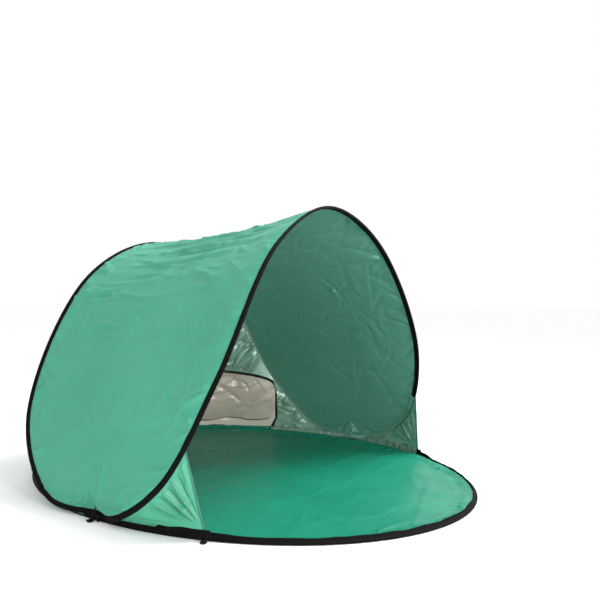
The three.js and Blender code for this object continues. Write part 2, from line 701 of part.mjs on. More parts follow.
// A hoop tie: webbing down the outside of both bindings, where the canopy hoop rests on the floor hoop.
function hoopTieShape(rise) {
  const inner = FOLD_RADIUS + TIE_GAP;
  const outer = inner + WEBBING;
  const top = rise + FOLD_RADIUS + LEG_REACH / 2;
  const low = FOLD_RADIUS;
  return new THREE.Shape()
    .moveTo(inner, TIE_FOOT)
    .lineTo(outer, TIE_FOOT)
    .lineTo(outer, low)
    .lineTo(outer + TIE_REACH, low + rise)
    .lineTo(outer + TIE_REACH, top)
    .lineTo(inner + TIE_REACH, top)
    .lineTo(inner + TIE_REACH, low + rise)
    .lineTo(inner, low)
    .closePath();
}

// A gusset tab: a patch that stands on the binding and covers the foot of the gusset's free edge.
function gussetTabGeometry() {
  const half = TAB_WIDTH / 2;
  const waist = half * 0.45;
  const patch = new THREE.Shape()
    .moveTo(-half, 0)
    .lineTo(half, 0)
    .quadraticCurveTo(waist, TAB_HEIGHT / 4, half * TAB_TOP, TAB_HEIGHT)
    .lineTo(-half * TAB_TOP, TAB_HEIGHT)
    .quadraticCurveTo(-waist, TAB_HEIGHT / 4, -half, 0);
  return new THREE.ExtrudeGeometry(patch, { depth: WEBBING, bevelEnabled: false, curveSegments: 6 });
}

function addWebbing(side, mirror) {
  const loops = { side: FOOT_ANGLE, front: GUSSET_ANGLE, rear: REAR_LOOP_ANGLE };
  Object.entries(loops).forEach(([place, degrees]) => {
    const matrix = pinned(webbingMatrix(degrees), mirror);
    add(side + "_" + place + "_peg_loop", webbingGeometry(pegLoopShape(), LOOP_WIDTH), blackTape(), matrix);
  });

  const tie = hoopTieShape(onCanopyWire(RIGHT_FOOT).z - FOLD_RADIUS);
  const tieMatrix = pinned(webbingMatrix(FOOT_ANGLE), mirror);
  add(side + "_hoop_tie", webbingGeometry(tie, TIE_WIDTH), blackTape(), tieMatrix);

  const { point, tangent, inward, normal } = floorFrameAt(GUSSET_ANGLE);
  const stand = along(point, inward, -TAB_SET_BACK).setZ(2 * FOLD_RADIUS + TIE_GAP);
  const tabMatrix = pinned(placed(tangent, normal, inward.clone().negate(), stand), mirror);
  add(side + "_gusset_tab", gussetTabGeometry(), blackTape(), tabMatrix);
}

// ---- The tent -----------------------------------------------------------------------------------------

addCanopy();
addFloor();
addGusset("right", false);
addGusset("left", true);
addRearWall();
addSlider();
addWebbing("right", false);
addWebbing("left", true);

export default model;
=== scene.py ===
"""The looks of the pop-up tent: cloth, binding, zip, webbing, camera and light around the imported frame."""

import math

import bmesh
import bpy
import numpy as np
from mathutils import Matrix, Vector


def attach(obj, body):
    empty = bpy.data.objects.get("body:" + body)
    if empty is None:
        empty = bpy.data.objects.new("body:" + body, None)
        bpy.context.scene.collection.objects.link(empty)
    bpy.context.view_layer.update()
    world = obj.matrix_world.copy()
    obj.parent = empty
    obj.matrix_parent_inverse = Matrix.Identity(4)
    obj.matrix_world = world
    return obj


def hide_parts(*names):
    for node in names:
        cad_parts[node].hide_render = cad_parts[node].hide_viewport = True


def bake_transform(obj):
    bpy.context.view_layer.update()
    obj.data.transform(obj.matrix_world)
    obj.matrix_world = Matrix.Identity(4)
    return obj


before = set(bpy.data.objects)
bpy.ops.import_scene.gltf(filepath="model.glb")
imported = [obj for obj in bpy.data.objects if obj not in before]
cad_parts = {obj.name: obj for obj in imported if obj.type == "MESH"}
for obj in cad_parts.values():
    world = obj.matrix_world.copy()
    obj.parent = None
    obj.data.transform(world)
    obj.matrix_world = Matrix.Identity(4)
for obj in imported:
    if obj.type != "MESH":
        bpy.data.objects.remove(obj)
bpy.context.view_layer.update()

# ---- Dimensions, in metres, as in the CAD ----

FLOOR_HALF = (0.820, 0.995)  # of the floor's wire
REAR_TAPER = 0.09  # how much narrower the floor is at the rear
WIRE_Z = 0.005
RIGHT_KEYS = [
    (0.000, -0.445, 1.055),
    (0.340, -0.465, 0.920),
    (0.660, -0.480, 0.495),
    (0.800, -0.375, 0.175),
    (0.835, -0.185, 0.030),
    (0.815, -0.070, 0.020),
    (0.850, 0.175, 0.040),
    (0.760, 0.410, 0.300),
    (0.405, 0.475, 0.815),
    (0.000, 0.480, 0.970),
]
STATIONS = 88.0  # round the canopy's hoop: 0 at the front top, 22 at the right foot, 44 at the rear top
REAR_TOP = 44.0
FOOT = 22.0
LAST_ROW = 18.0  # the canopy's rows run from arch to arch up to this station, and fan out beyond it
SAG = 0.036  # of the ridge
FOOT_ANGLE = -3.4  # of the canopy's foot round the floor, in degrees from the right
GUSSET_ANGLE = -28.8  # of the gusset's front corner
GUSSET_TOP = 15.0  # the station of the gusset's top
REAR_LOOP_ANGLE = 58.0
WALL_PITCH = 0.071  # metres sideways on the wall to one station
WALL_SPREAD = 1.2  # how the wall's threads spread round the floor
WALL_END = 23.0  # the station where the wall begins
CLOTH = 0.0007  # the thickness of every cloth but the mesh

# ---- Small maths ----


def unit(v):
    return v / np.maximum(np.linalg.norm(v, axis=-1, keepdims=True), 1e-12)


def mix(a, b, t):
    return a + (b - a) * t


def smooth(t):
    t = np.clip(t, 0.0, 1.0)
    return t * t * (3 - 2 * t)


def bell(t):
    return np.exp(-(t**2))


def mirrored(v):
    return v * np.array([-1.0, 1.0, 1.0])

def noise1(x, seed):
    """Smooth noise along a line, about -1 to 1, with one bump to each unit of x."""
    rng = np.random.default_rng(seed)
    table = rng.uniform(-1, 1, 512)
    i = np.floor(x).astype(int)
    f = smooth(x - i)
    return mix(table[i % 512], table[(i + 1) % 512], f)


def noise2(x, y, seed):
    """Smooth noise over a plane, about -1 to 1, with one bump to each unit."""
    rng = np.random.default_rng(seed)
    table = rng.uniform(-1, 1, (64, 64))
    i, j = np.floor(x).astype(int), np.floor(y).astype(int)
    fx, fy = smooth(x - i), smooth(y - j)
    a = mix(table[i % 64, j % 64], table[(i + 1) % 64, j % 64], fx)
    b = mix(table[i % 64, (j + 1) % 64], table[(i + 1) % 64, (j + 1) % 64], fx)
    return mix(a, b, fy)


def ridged(x, y, seed):
    """Thin crossing ridges over a plane, 0 to 1."""
    return (1 - np.abs(noise2(x, y, seed))) ** 4


# ---- The hoops ----


def cubic(p1, p2, slope1, slope2, w):
    """The curve from p1 to p2 with those slopes at its ends, at w from 0 to 1."""
    square, cube = 3 * (p2 - p1) - 2 * slope1 - slope2, 2 * (p1 - p2) + slope1 + slope2
    return p1 + slope1 * w + square * w**2 + cube * w**3


def run_along(points):
    """The length along a line at each of its points."""
    steps = np.linalg.norm(np.diff(points, axis=0), axis=1)
    return np.concatenate([[0], np.cumsum(steps)])


def closed_curve(keys):
    """A closed centripetal Catmull-Rom curve: its points and the length along it."""
    count = len(keys)
    w = np.linspace(0, 1, 200, endpoint=False)[:, None]
    out = []
    for i in range(count):
        p = [keys[(i + k) % count] for k in (-1, 0, 1, 2)]
        d = [math.sqrt(np.linalg.norm(p[k + 1] - p[k])) for k in range(3)]
        t1 = ((p[1] - p[0]) / d[0] - (p[2] - p[0]) / (d[0] + d[1]) + (p[2] - p[1]) / d[1]) * d[1]
        t2 = ((p[2] - p[1]) / d[1] - (p[3] - p[1]) / (d[1] + d[2]) + (p[3] - p[2]) / d[2]) * d[1]
        out.append(cubic(p[1], p[2], t1, t2, w))
    points = np.concatenate(out + [keys[:1]])
    return points, run_along(points)


right_keys = np.array(RIGHT_KEYS)
CURVE, ARC = closed_curve(np.concatenate([right_keys, mirrored(right_keys[-2:0:-1])]))
HOOP_LENGTH = ARC[-1]
STATION_LENGTH = HOOP_LENGTH / STATIONS


def wire(station):
    at = np.mod(station, STATIONS) / STATIONS * HOOP_LENGTH
    return np.stack([np.interp(at, ARC, CURVE[:, k]) for k in range(3)], axis=-1)


def wire_tangent(station):
    return unit(wire(station + 0.05) - wire(station - 0.05))


def spine(row):
    """The middle of a row from the front arch to the rear arch, the way out of the tent, and the sag."""

    def middle_of(r):
        return (wire(r) + wire(REAR_TOP - r)) / 2

    across = wire(REAR_TOP - row) - wire(row)
    outward = unit(np.cross(middle_of(row + 0.5) - middle_of(row - 0.5), across))
    sag = SAG * np.cos(row / FOOT * math.pi / 2) ** 2
    return middle_of(row), outward, sag


def canopy_frame(station):
    """Wire, ways into the cloth and out of the tent, and the spine's place, outward and sag."""
    around = np.mod(station, STATIONS)
    left = around > REAR_TOP
    s = np.where(left, STATIONS - around, around)
    point = wire(s)
    tangent = wire_tangent(s)
    middle, outward, sag = spine(np.minimum(np.minimum(s, REAR_TOP - s), LAST_ROW))
    inward = middle - outward * (2 * sag)[..., None] - point
    inward = unit(inward - tangent * np.sum(inward * tangent, axis=-1, keepdims=True))
    normal = np.cross(tangent, inward)
    flip = np.where(left[..., None], np.array([-1.0, 1.0, 1.0]), 1.0)
    return point * flip, inward * flip, normal * flip, middle * flip, outward * flip, sag


def floor_point(degrees):
    a = np.radians(degrees)
    half_width = FLOOR_HALF[0] * (1 - REAR_TAPER * np.maximum(np.sin(a), 0) ** 2)
    return np.stack([half_width * np.cos(a), FLOOR_HALF[1] * np.sin(a), WIRE_Z + 0 * a], axis=-1)


def floor_frame(degrees):
    tangent = unit(floor_point(degrees + 0.1) - floor_point(degrees - 0.1))
    up = np.array([0.0, 0.0, 1.0]) + 0 * tangent
    return floor_point(degrees), np.cross(up, tangent), up, tangent


# ---- Meshes ----

def edit_mesh(mesh, change):
    """Runs change on the mesh's vertices and faces."""
    b = bmesh.new()
    b.from_mesh(mesh)
    b.verts.ensure_lookup_table()
    change(b)
    b.to_mesh(mesh)
    b.free()


def new_object(name, verts, faces, materials, face_material=None, merge=0.0):
    """A smooth mesh object. Vertices nearer than merge to each other become one."""
    mesh = bpy.data.meshes.new(name)
    verts = np.asarray(verts, float).reshape(-1, 3)
    faces = np.asarray(faces, int)
    mesh.vertices.add(len(verts))
    mesh.vertices.foreach_set("co", verts.ravel())
    side = faces.shape[1]
    mesh.loops.add(faces.size)
    mesh.loops.foreach_set("vertex_index", faces.ravel())
    mesh.polygons.add(len(faces))
    mesh.polygons.foreach_set("loop_start", np.arange(len(faces)) * side)
    mesh.polygons.foreach_set("loop_total", np.full(len(faces), side))
    if face_material is not None:
        mesh.polygons.foreach_set("material_index", np.asarray(face_material, int))
    mesh.polygons.foreach_set("use_smooth", np.ones(len(faces), bool))
    mesh.update(calc_edges=True)
    for material in materials:
        mesh.materials.append(material)
    if merge:
        edit_mesh(mesh, lambda b: bmesh.ops.remove_doubles(b, verts=b.verts, dist=merge))
    mesh.validate()
    obj = bpy.data.objects.new(name, mesh)
    bpy.context.scene.collection.objects.link(obj)
    return obj


def grid_normals(P, wrap):
    """Normals of an n by m grid of points. With wrap, the first index runs round a ring."""
    if wrap:
        du = np.roll(P, -1, 0) - np.roll(P, 1, 0)
    else:
        du = np.gradient(P, axis=0)
    return unit(np.cross(du, np.gradient(P, axis=1)))


def grid_faces(n, m, wrap, offset, reverse):
    """The quads of an n by m grid of vertices numbered from offset."""
    i = np.arange(n if wrap else n - 1)
    j = np.arange(m - 1)
    a = (i[:, None] * m + j[None, :]).ravel()
    b = (((i + 1) % n)[:, None] * m + j[None, :]).ravel()
    quads = np.stack([a, b, b + 1, a + 1], axis=1) + offset
    return quads[:, ::-1] if reverse else quads


def shell(name, P, N, materials, thickness=CLOTH, wrap=False, closed_middle=False, merge=0.0):
    """A thin closed sheet over the grid P with normals N, which point to the first material's side."""
    n, m = P.shape[:2]
    count = n * m
    verts = np.concatenate([(P + N * thickness / 2).reshape(-1, 3), (P - N * thickness / 2).reshape(-1, 3)])
    faces = [grid_faces(n, m, wrap, 0, False), grid_faces(n, m, wrap, count, True)]
    marks = [np.zeros(len(faces[0])), np.ones(len(faces[1]))]

    def rim(line, reverse):
        a, b = line[:-1], line[1:]
        quads = np.stack([a, a + count, b + count, b], axis=1)
        faces.append(quads[:, ::-1] if reverse else quads)
        marks.append(np.zeros(len(quads)))

    ring = np.arange(n + 1) % n if wrap else np.arange(n)
    rim(ring * m, False)
    if not closed_middle:
        rim(ring * m + m - 1, True)
    if not wrap:
        rim(np.arange(m), True)
        rim((n - 1) * m + np.arange(m), False)
    face_material = np.concatenate(marks) if len(materials) > 1 else None
    return new_object(name, verts, np.concatenate(faces), materials, face_material, merge)


def tube(name, section, materials, wrap):
    """A closed solid over section[n, m, 3]: m points round it at each of n stops."""
    n, m = section.shape[:2]
    i, j = np.arange(n if wrap else n - 1)[:, None], np.arange(m)[None, :]
    here, ahead, beside = i * m, (i + 1) % n * m, (j + 1) % m
    corners = [here + j, here + beside, ahead + beside, ahead + j]
    obj = new_object(name, section, np.stack([c.ravel() for c in corners], axis=1), materials)

    def close(b):
        b.faces.new([b.verts[k] for k in range(m)][::-1])
        b.faces.new([b.verts[(n - 1) * m + k] for k in range(m)])

    if not wrap:
        edit_mesh(obj.data, close)
    return obj


def face_out(obj):
    """Turns the faces of a closed mesh outwards."""
    edit_mesh(obj.data, lambda b: bmesh.ops.recalc_face_normals(b, faces=b.faces))
    return obj


def blocks(name, centre, x, y, z, size, materials):
    """Many small blocks as one piece, for stitches and zip teeth. x, y, z are each block's own axes."""
    corners = np.array([(i, j, k) for i in (-0.5, 0.5) for j in (-0.5, 0.5) for k in (-0.5, 0.5)])
    quads = np.array([(0, 1, 3, 2), (4, 6, 7, 5), (0, 4, 5, 1), (2, 3, 7, 6), (0, 2, 6, 4), (1, 5, 7, 3)])
    c = corners * np.array(size)
    verts = (
        centre[:, None, :]
        + x[:, None, :] * c[None, :, 0:1]
        + y[:, None, :] * c[None, :, 1:2]
        + z[:, None, :] * c[None, :, 2:3]
    )
    faces = (quads[None] + 8 * np.arange(len(centre))[:, None, None]).reshape(-1, 4)
    return face_out(new_object(name, verts, faces, materials))


# ---- Creases ----


def crease(x, y, start, end, width, height, bow=0.0):
    """A fold on the plane of x and y: highest along a line from start to end, and fading at both ends."""
    (x0, y0), (x1, y1) = start, end
    length = math.hypot(x1 - x0, y1 - y0)
    tx, ty = (x1 - x0) / length, (y1 - y0) / length
    t = ((x - x0) * tx + (y - y0) * ty) / length
    d = -(x - x0) * ty + (y - y0) * tx - bow * 4 * t * (1 - t)
    fade = np.where((t > 0) & (t < 1), np.sin(np.pi * np.clip(t, 0, 1)) ** 0.7, 0.0)
    ridge = np.exp(-1.2 * np.sqrt((d / width) ** 2 + 0.03))
    valley = 0.4 * bell((d - 2.0 * width) / (1.6 * width))
    return height * fade * (ridge - valley)


def creases(x, y, lines):
    total = 0 * x
    for line in lines:
        total = total + crease(x, y, *line)
    return total


def aimed(turn, half):
    """The way from a crease's middle to its end, for a turn from x."""
    return half * math.cos(turn), half * math.sin(turn)


def stroke(r, at, way, widths, heights, bow, both_ways=False):
    """A crease with its middle at a point, and its width, height and bow drawn by r."""
    (x, y), (dx, dy) = at, way
    width, height = r.uniform(*widths), r.uniform(*heights)
    if both_ways:
        height = height * r.choice([-1, 1])
    return (x - dx, y - dy), (x + dx, y + dy), width, height, r.normal(0, bow)


# ---- Materials ----


def linear(hexcode, alpha=1.0):
    channels = [int(hexcode[i : i + 2], 16) / 255 for i in (1, 3, 5)]
    return tuple(c / 12.92 if c <= 0.04045 else ((c + 0.055) / 1.055) ** 2.4 for c in channels) + (alpha,)


class Nodes:
    """A short way to write a node material."""

    def __init__(self, name):
        self.material = bpy.data.materials.new(name)
        self.material.use_nodes = True
        self.tree = self.material.node_tree
        self.tree.nodes.clear()
        self.output = self.add("ShaderNodeOutputMaterial")
        self.position = self.add("ShaderNodeTexCoord").outputs["Object"]

    def add(self, kind, **values):
        node = self.tree.nodes.new(kind)
        for key, value in values.items():
            setattr(node, key, value)
        return node

    def put(self, value, socket):
        """Sets a socket to a number, or links another socket to it."""
        if isinstance(value, (int, float)):
            socket.default_value = value
        else:
            self.tree.links.new(value, socket)

    def noise(self, scale, detail=2.0, stretch=(1, 1, 1)):
        mapping = self.add("ShaderNodeMapping")
        mapping.inputs["Scale"].default_value = stretch
        self.put(self.position, mapping.inputs["Vector"])
        node = self.add("ShaderNodeTexNoise")
        node.inputs["Scale"].default_value = scale
        node.inputs["Detail"].default_value = detail
        self.put(mapping.outputs["Vector"], node.inputs["Vector"])
        return node.outputs["Fac"]

    def weave(self, pitch):
        """The height of a plain weave, from two sets of waves."""
        out = []
        for direction in ("X", "Z"):
            wave = self.add("ShaderNodeTexWave", wave_type="BANDS", bands_direction=direction)
            wave.inputs["Scale"].default_value = 0.314 / pitch  # a wave has 20 / (2 pi) bands to each unit
            self.put(self.position, wave.inputs["Vector"])
            out.append(wave.outputs["Fac"])
        return self.math("MULTIPLY", out[0], out[1])

    def math(self, operation, a, b):
        node = self.add("ShaderNodeMath", operation=operation)
        for socket, value in zip(node.inputs, (a, b)):
            self.put(value, socket)
        return node.outputs[0]

    def ramp(self, fac, *stops):
        node = self.add("ShaderNodeValToRGB")
        elements = node.color_ramp.elements
        while len(elements) < len(stops):
            elements.new(0.5)
        for element, (at, colour) in zip(elements, stops):
            element.position = at
            element.color = colour
        self.put(fac, node.inputs["Fac"])
        return node.outputs["Color"]

    def span(self, fac, low, high):
        """fac from 0..1 moved to low..high."""
        node = self.add("ShaderNodeMapRange")
        node.inputs["To Min"].default_value = low
        node.inputs["To Max"].default_value = high
        self.put(fac, node.inputs["Value"])
        return node.outputs["Result"]

    def bump(self, *layers):
        """Bumps on bumps: each layer is (height, strength, distance)."""
        normal = None
        for height, strength, distance in layers:
            node = self.add("ShaderNodeBump")
            node.inputs["Strength"].default_value = strength
            node.inputs["Distance"].default_value = distance
            self.put(height, node.inputs["Height"])
            if normal is not None:
                self.put(normal, node.inputs["Normal"])
            normal = node.outputs["Normal"]
        return normal

    def principled(self, colour, roughness, normal, numbers):
        """A principled surface, with plain numbers on the sockets that numbers names."""
        node = self.add("ShaderNodeBsdfPrincipled")
        sockets = {"Base Color": colour, "Roughness": roughness, "Normal": normal, **numbers}
        for socket, value in sockets.items():
            self.put(value, node.inputs[socket])
        return node.outputs[0]

    def mixed(self, share, first, second):
        """Two surfaces mixed, from all of the first at share 0 to all of the second at share 1."""
        node = self.add("ShaderNodeMixShader")
        for socket, value in zip(node.inputs, (share, first, second)):
            self.put(value, socket)
        return node.outputs[0]

    def finish(self, surface):
        self.put(surface, self.output.inputs["Surface"])
        return self.material


WEAVE, MESH_WEAVE = 0.0011, 0.0016  # from thread to thread


def cloth(
    name, dark, light, roughness, through=0.0, through_colour=None,
    sheen=0.0, crinkle=0.5, alpha=None, coat=0.0, gloss=0.5,
):
    """Thin polyester: a fine weave, soft crinkles, light let through, and coat for how silvery it is."""
    n = Nodes(name)
    colour = n.ramp(n.noise(2.2, 3.0), (0.30, linear(dark)), (0.70, linear(light)))
    fine = n.noise(55.0, 4.0)
    broad = n.noise(14.0, 5.0, (1.0, 0.55, 1.0))
    normal = n.bump((broad, crinkle, 0.004), (fine, crinkle * 0.5, 0.0012), (n.weave(WEAVE), 0.25, 0.00015))
    numbers = {"Specular IOR Level": gloss, "Metallic": coat, "Sheen Weight": sheen, "Sheen Roughness": 0.4}
    surface = n.principled(colour, n.span(fine, roughness - 0.07, roughness + 0.07), normal, numbers)
    if through:
        glow = n.add("ShaderNodeBsdfTranslucent")
        glow.inputs["Color"].default_value = linear(through_colour or light)
        n.put(normal, glow.inputs["Normal"])
        surface = n.mixed(through, surface, glow.outputs[0])
    if alpha is not None:
        clear = n.add("ShaderNodeBsdfTransparent")
        threads = n.span(n.weave(MESH_WEAVE), alpha + 0.1, alpha - 0.1)
        surface = n.mixed(threads, clear.outputs[0], surface)
    return n.finish(surface)


def tape(name, dark, light, pitch=0.0016, roughness=0.75):
    """Woven tape or webbing, with ribs and lint."""
    n = Nodes(name)
    lint = n.noise(160.0, 3.0)
    colour = n.ramp(lint, (0.35, linear(dark)), (0.75, linear(light)))
    normal = n.bump((n.noise(30.0, 3.0), 0.5, 0.002), (n.weave(pitch), 0.8, 0.0005))
    rough = n.span(lint, roughness - 0.1, roughness + 0.1)
    return n.finish(n.principled(colour, rough, normal, {"Specular IOR Level": 0.10}))


def metal(name, dark, light, metallic, roughness):
    """Wire, enamel or hard plastic, a little worn."""
    n = Nodes(name)
    wear = n.noise(220.0, 4.0)
    colour = n.ramp(wear, (0.35, linear(dark)), (0.8, linear(light)))
    rough = n.span(wear, roughness - 0.08, roughness + 0.12)
    return n.finish(n.principled(colour, rough, n.bump((wear, 0.15, 0.0002)), {"Metallic": metallic}))


canopy_out = cloth(
    "canopy_outside", "#4cb191", "#57bb9e", 0.44, 0.36, "#88d9bc", sheen=0.05, crinkle=0.9, gloss=0.35,
)
canopy_in = cloth("canopy_inside", "#5e887d", "#6d968b", 0.30, 0.22, "#9cc7bb", crinkle=0.35, coat=0.42)
floor_top = cloth("floor_top", "#0d7a62", "#148569", 0.42, crinkle=0.9, gloss=0.32)
floor_under = cloth("floor_under", "#3d8f78", "#469a82", 0.6)
wall_out = cloth("wall_outside", "#4aa383", "#57ae8f", 0.45, 0.30, "#b5e0cf", crinkle=0.8)
wall_in = cloth("wall_inside", "#88a799", "#a4bdb1", 0.31, 0.12, "#b8d8ca", crinkle=1.4, coat=0.32)
gusset_cloth = cloth("gusset_cloth", "#4aad8b", "#57b998", 0.36, 0.35, "#86d8b8", crinkle=0.8)
gusset_in = cloth("gusset_inside", "#7a9f90", "#8fb0a3", 0.28, 0.22, "#8fc4b0", crinkle=1.0, coat=0.30)
seam_cloth = cloth("seam_cloth", "#628d7c", "#6f9989", 0.45, crinkle=0.6)
# The hems are the gussets' own cloth folded over; their darker green is painted shade along the fold.
hem_painted_shade = cloth("hem_painted_shade", "#2c6a54", "#357760", 0.55, crinkle=0.3)
flap_out = cloth("flap_outside", "#4fa888", "#5cb394", 0.45, 0.40, "#f2ede4", crinkle=0.8)
flap_in = cloth("flap_inside", "#d8cac0", "#e8dcd2", 0.30, 0.25, "#f6efe6", crinkle=1.0, coat=0.3)
# The mesh's dark and light tones lie further apart than any other cloth's: partly random tone, and partly
# painted shade and light that stand in for its crumples, laid out at random.
mesh_cloth = cloth("mesh_cloth", "#9c9086", "#c9beb4", 0.5, crinkle=1.5, alpha=0.12)
binding_tape = tape("binding_tape", "#030302", "#0c0a09")
zip_tape = tape("zip_tape", "#040404", "#0d0c0b", 0.0010)
webbing = tape("webbing", "#060505", "#15120f", 0.0022)
thread = tape("thread", "#0b0a09", "#1a1715", 0.0007, 0.6)
coil = metal("zip_coil", "#17171a", "#2c2c30", 0.0, 0.35)
steel = metal("spring_steel", "#85888b", "#b9bcbf", 1.0, 0.32)
black_metal = metal("black_enamel", "#141417", "#2a2a2e", 0.4, 0.35)

# ---- Canopy ----

def canopy_creases():
    """Folds of the canopy, in metres along the spine from the ridge and across it from the spine."""
    r = np.random.default_rng(11)
    lines = []
    for _ in range(44):  # long pulls from arch to arch beside the ridge
        a, drift = r.normal(0, 0.19), r.normal(0, 0.07)
        b0, b1 = r.uniform(-0.47, -0.15), r.uniform(0.0, 0.45)
        size = r.uniform(0.006, 0.011), r.uniform(0.004, 0.011), r.normal(0, 0.012)
        lines.append(((a, b0), (a + drift, b1), *size))
    for _ in range(60):  # shorter ones below them, still from arch to arch
        at = r.choice([-1, 1]) * r.uniform(0.25, 0.75), r.uniform(-0.34, 0.34)
        half, drift = r.uniform(0.04, 0.12), r.normal(0, 0.025)
        lines.append(stroke(r, at, (drift, half), (0.006, 0.011), (0.003, 0.008), 0.01))
    for _ in range(56):  # soft dents in every direction on the flanks
        at = r.uniform(-1.15, 1.15), r.uniform(-0.34, 0.34)
        way = aimed(r.uniform(-1.5, 1.5), r.uniform(0.03, 0.10))[::-1]
        lines.append(stroke(r, at, way, (0.006, 0.012), (-0.005, 0.007), 0.01))
    for _ in range(64):  # fine creases on the right flank, which hangs a little slacker
        a = r.uniform(0.12, 0.62) if r.uniform() < 0.5 else r.uniform(0.5, 1.15)
        at = a, r.choice([-1, 1]) * r.uniform(0.10, 0.42)
        way = aimed(r.normal(0.5, 0.5), r.uniform(0.04, 0.15))
        lines.append(stroke(r, at, way, (0.004, 0.008), (0.002, 0.006), 0.015))
    return lines


def rim_pulls(arc, inset, seed, count, length, reach, height):
    """Short slanted pulls that start at a hoop. arc runs along the hoop and inset away from it."""
    r = np.random.default_rng(seed)
    total = 0 * arc
    for _ in range(count):
        at = r.uniform(0, length)
        lean = r.normal(0, 0.6)
        deep = reach * r.uniform(0.4, 1.2)
        wide = r.uniform(0.004, 0.010)
        d = np.mod(arc - at - lean * inset + length / 2, length) - length / 2
        high = height * r.uniform(0.4, 1.2)
        total = total + high * bell(d / (wide + 0.1 * inset)) * bell(inset / deep)
    return total


N_AROUND, N_RINGS = 1120, 82
RIM_INSETS = (0.004, 0.008, 0.012)  # the cloth's first three rings, between the legs of its tape
TUCKED = 0.015  # how far the cloth runs flat there
stations = np.arange(N_AROUND) * STATIONS / N_AROUND
around = np.minimum(stations, STATIONS - stations)
point, inward, normal, middle, outward, sag = canopy_frame(stations)
row_table = np.linspace(0, LAST_ROW, 400)
spine_line = spine(row_table)[0]
spine_arc = run_along(spine_line)


def canopy_places(P, from_spine):
    """Each point's place along the spine from the ridge and across it, and which rows lie in the fan."""
    row = np.minimum(np.minimum(around, REAR_TOP - around), LAST_ROW)
    side = np.where(stations > REAR_TOP, -1.0, 1.0)
    centre, out, _ = spine(np.array([LAST_ROW]))
    across = unit(wire(np.array([REAR_TOP - LAST_ROW])) - wire(np.array([LAST_ROW])))[0]
    along = unit(np.cross(across, out[0]))
    along = along if along[2] < 0 else -along
    rel = P * side[:, None, None] ** np.array([1, 0, 0]) - centre[0]
    fan = (row >= LAST_ROW)[:, None]
    b = np.where(fan, rel @ across, from_spine * np.where(around < FOOT, -1.0, 1.0)[:, None])
    a = np.where(fan, spine_arc[-1] + rel @ along, np.interp(row, row_table, spine_arc)[:, None])
    return a * side[:, None], b, fan


def canopy_surface():
    """The canopy's cloth from the hoop in to the spine, with its folds, and its normals without them."""
    share = np.linspace(0, 1, N_RINGS - 2)
    start = point + inward * RIM_INSETS[-1]
    end = middle - outward * sag[:, None]
    P = mix(start[:, None], end[:, None], share[None, :, None])
    P = P - outward[:, None] * (sag[:, None] * share * (1 - share))[..., None]
    rim = [point + inward * inset for inset in RIM_INSETS[:-1]]
    P = np.concatenate([np.stack(rim, axis=1), P], axis=1)
    spread = np.concatenate([[0, 0], share])[None, :, None]
    N = unit(mix(normal[:, None], outward[:, None], spread))

    from_spine = np.linalg.norm(P - end[:, None], axis=2)
    a, b, fan = canopy_places(P, from_spine)
    inset = np.linalg.norm(P - point[:, None], axis=2)
    arc = (stations * STATION_LENGTH)[:, None]
    lift = creases(a, b, canopy_creases())
    lift += 0.0040 * noise2(a / 0.19, b / 0.23 + 7, 3)
    lift += (0.0030 + 0.0040 * bell(a / 0.34)) * ridged(a / 0.075, b / 0.30 + 0.6 * a / 0.075, 4)
    lift += 0.0035 * ridged(a / 0.12 + b / 0.2, b / 0.10, 6)
    lift = lift * smooth((inset - TUCKED) / 0.05)
    edge = smooth((inset - TUCKED) / 0.02)
    lift += rim_pulls(arc, inset, 5, 230, HOOP_LENGTH, 0.10, 0.0075) * edge
    at_foot = bell((around[:, None] - FOOT) / 3.0)
    lift += 0.006 * at_foot * ridged(arc / 0.11, inset / 0.07 + arc / 0.09, 8) * bell(inset / 0.10) * edge
    fade_pole = np.where(fan, smooth(from_spine / 0.03), 1.0)
    return P + N * (lift * fade_pole)[..., None], N


P_canopy, N_canopy = canopy_surface()
ROUND = {"wrap": True, "closed_middle": True, "merge": 2e-5}  # a sheet that runs in from a hoop on every side
canopy = shell("canopy", P_canopy, N_canopy, [canopy_out, canopy_in], **ROUND)

# ---- Bindings ----


REACH = 0.0165  # the width of the canopy's tape
LEG, BEAD = 0.0016, 0.0050  # half the thickness of either tape, and its radius round the wire
STITCH, STITCH_PITCH = (0.0030, 0.0007, 0.0007), 0.0045


def binding_section(reach):
    """The outside of a tape folded round the wire, a round bead with two flat legs, at each stop's reach."""
    share = np.linspace(1, 0, 5)
    low = BEAD + 0.001
    legs = low + (reach[:, None] - low) * share
    angles = np.radians(np.linspace(30, 330, 15))
    bead = np.stack([BEAD * np.cos(angles), BEAD * np.sin(angles)], axis=-1)
    bead = np.repeat(bead[None], len(reach), 0)
    above = np.stack([legs, LEG + 0 * legs], axis=-1)
    below = np.stack([legs[:, ::-1], -LEG + 0 * legs], axis=-1)
    return np.concatenate([above, bead, below], axis=1)


def binding(name, point, inward, normal, length, seed, reach, waver, ragged):
    """A binding round a hoop, puckered along its edge where it is sewn."""
    turns = round(length / 0.030)  # puckers round the hoop
    at = np.arange(len(point)) / len(point) * turns
    wave = noise1(at, seed) * 0.6 + noise1(at * 2.5, seed + 1) * 0.4
    wide = 1 + ragged * noise1(at * 0.7, seed + 2)
    section = binding_section(reach * wide)
    depth = np.clip(section[..., 0] / reach[:, None], 0, 1)
    v = section[..., 1] + waver * wave[:, None] * depth**1.5
    P = point[:, None] + inward[:, None] * section[..., :1] + normal[:, None] * v[..., None]
    return face_out(tube(name, P, [binding_tape], True))


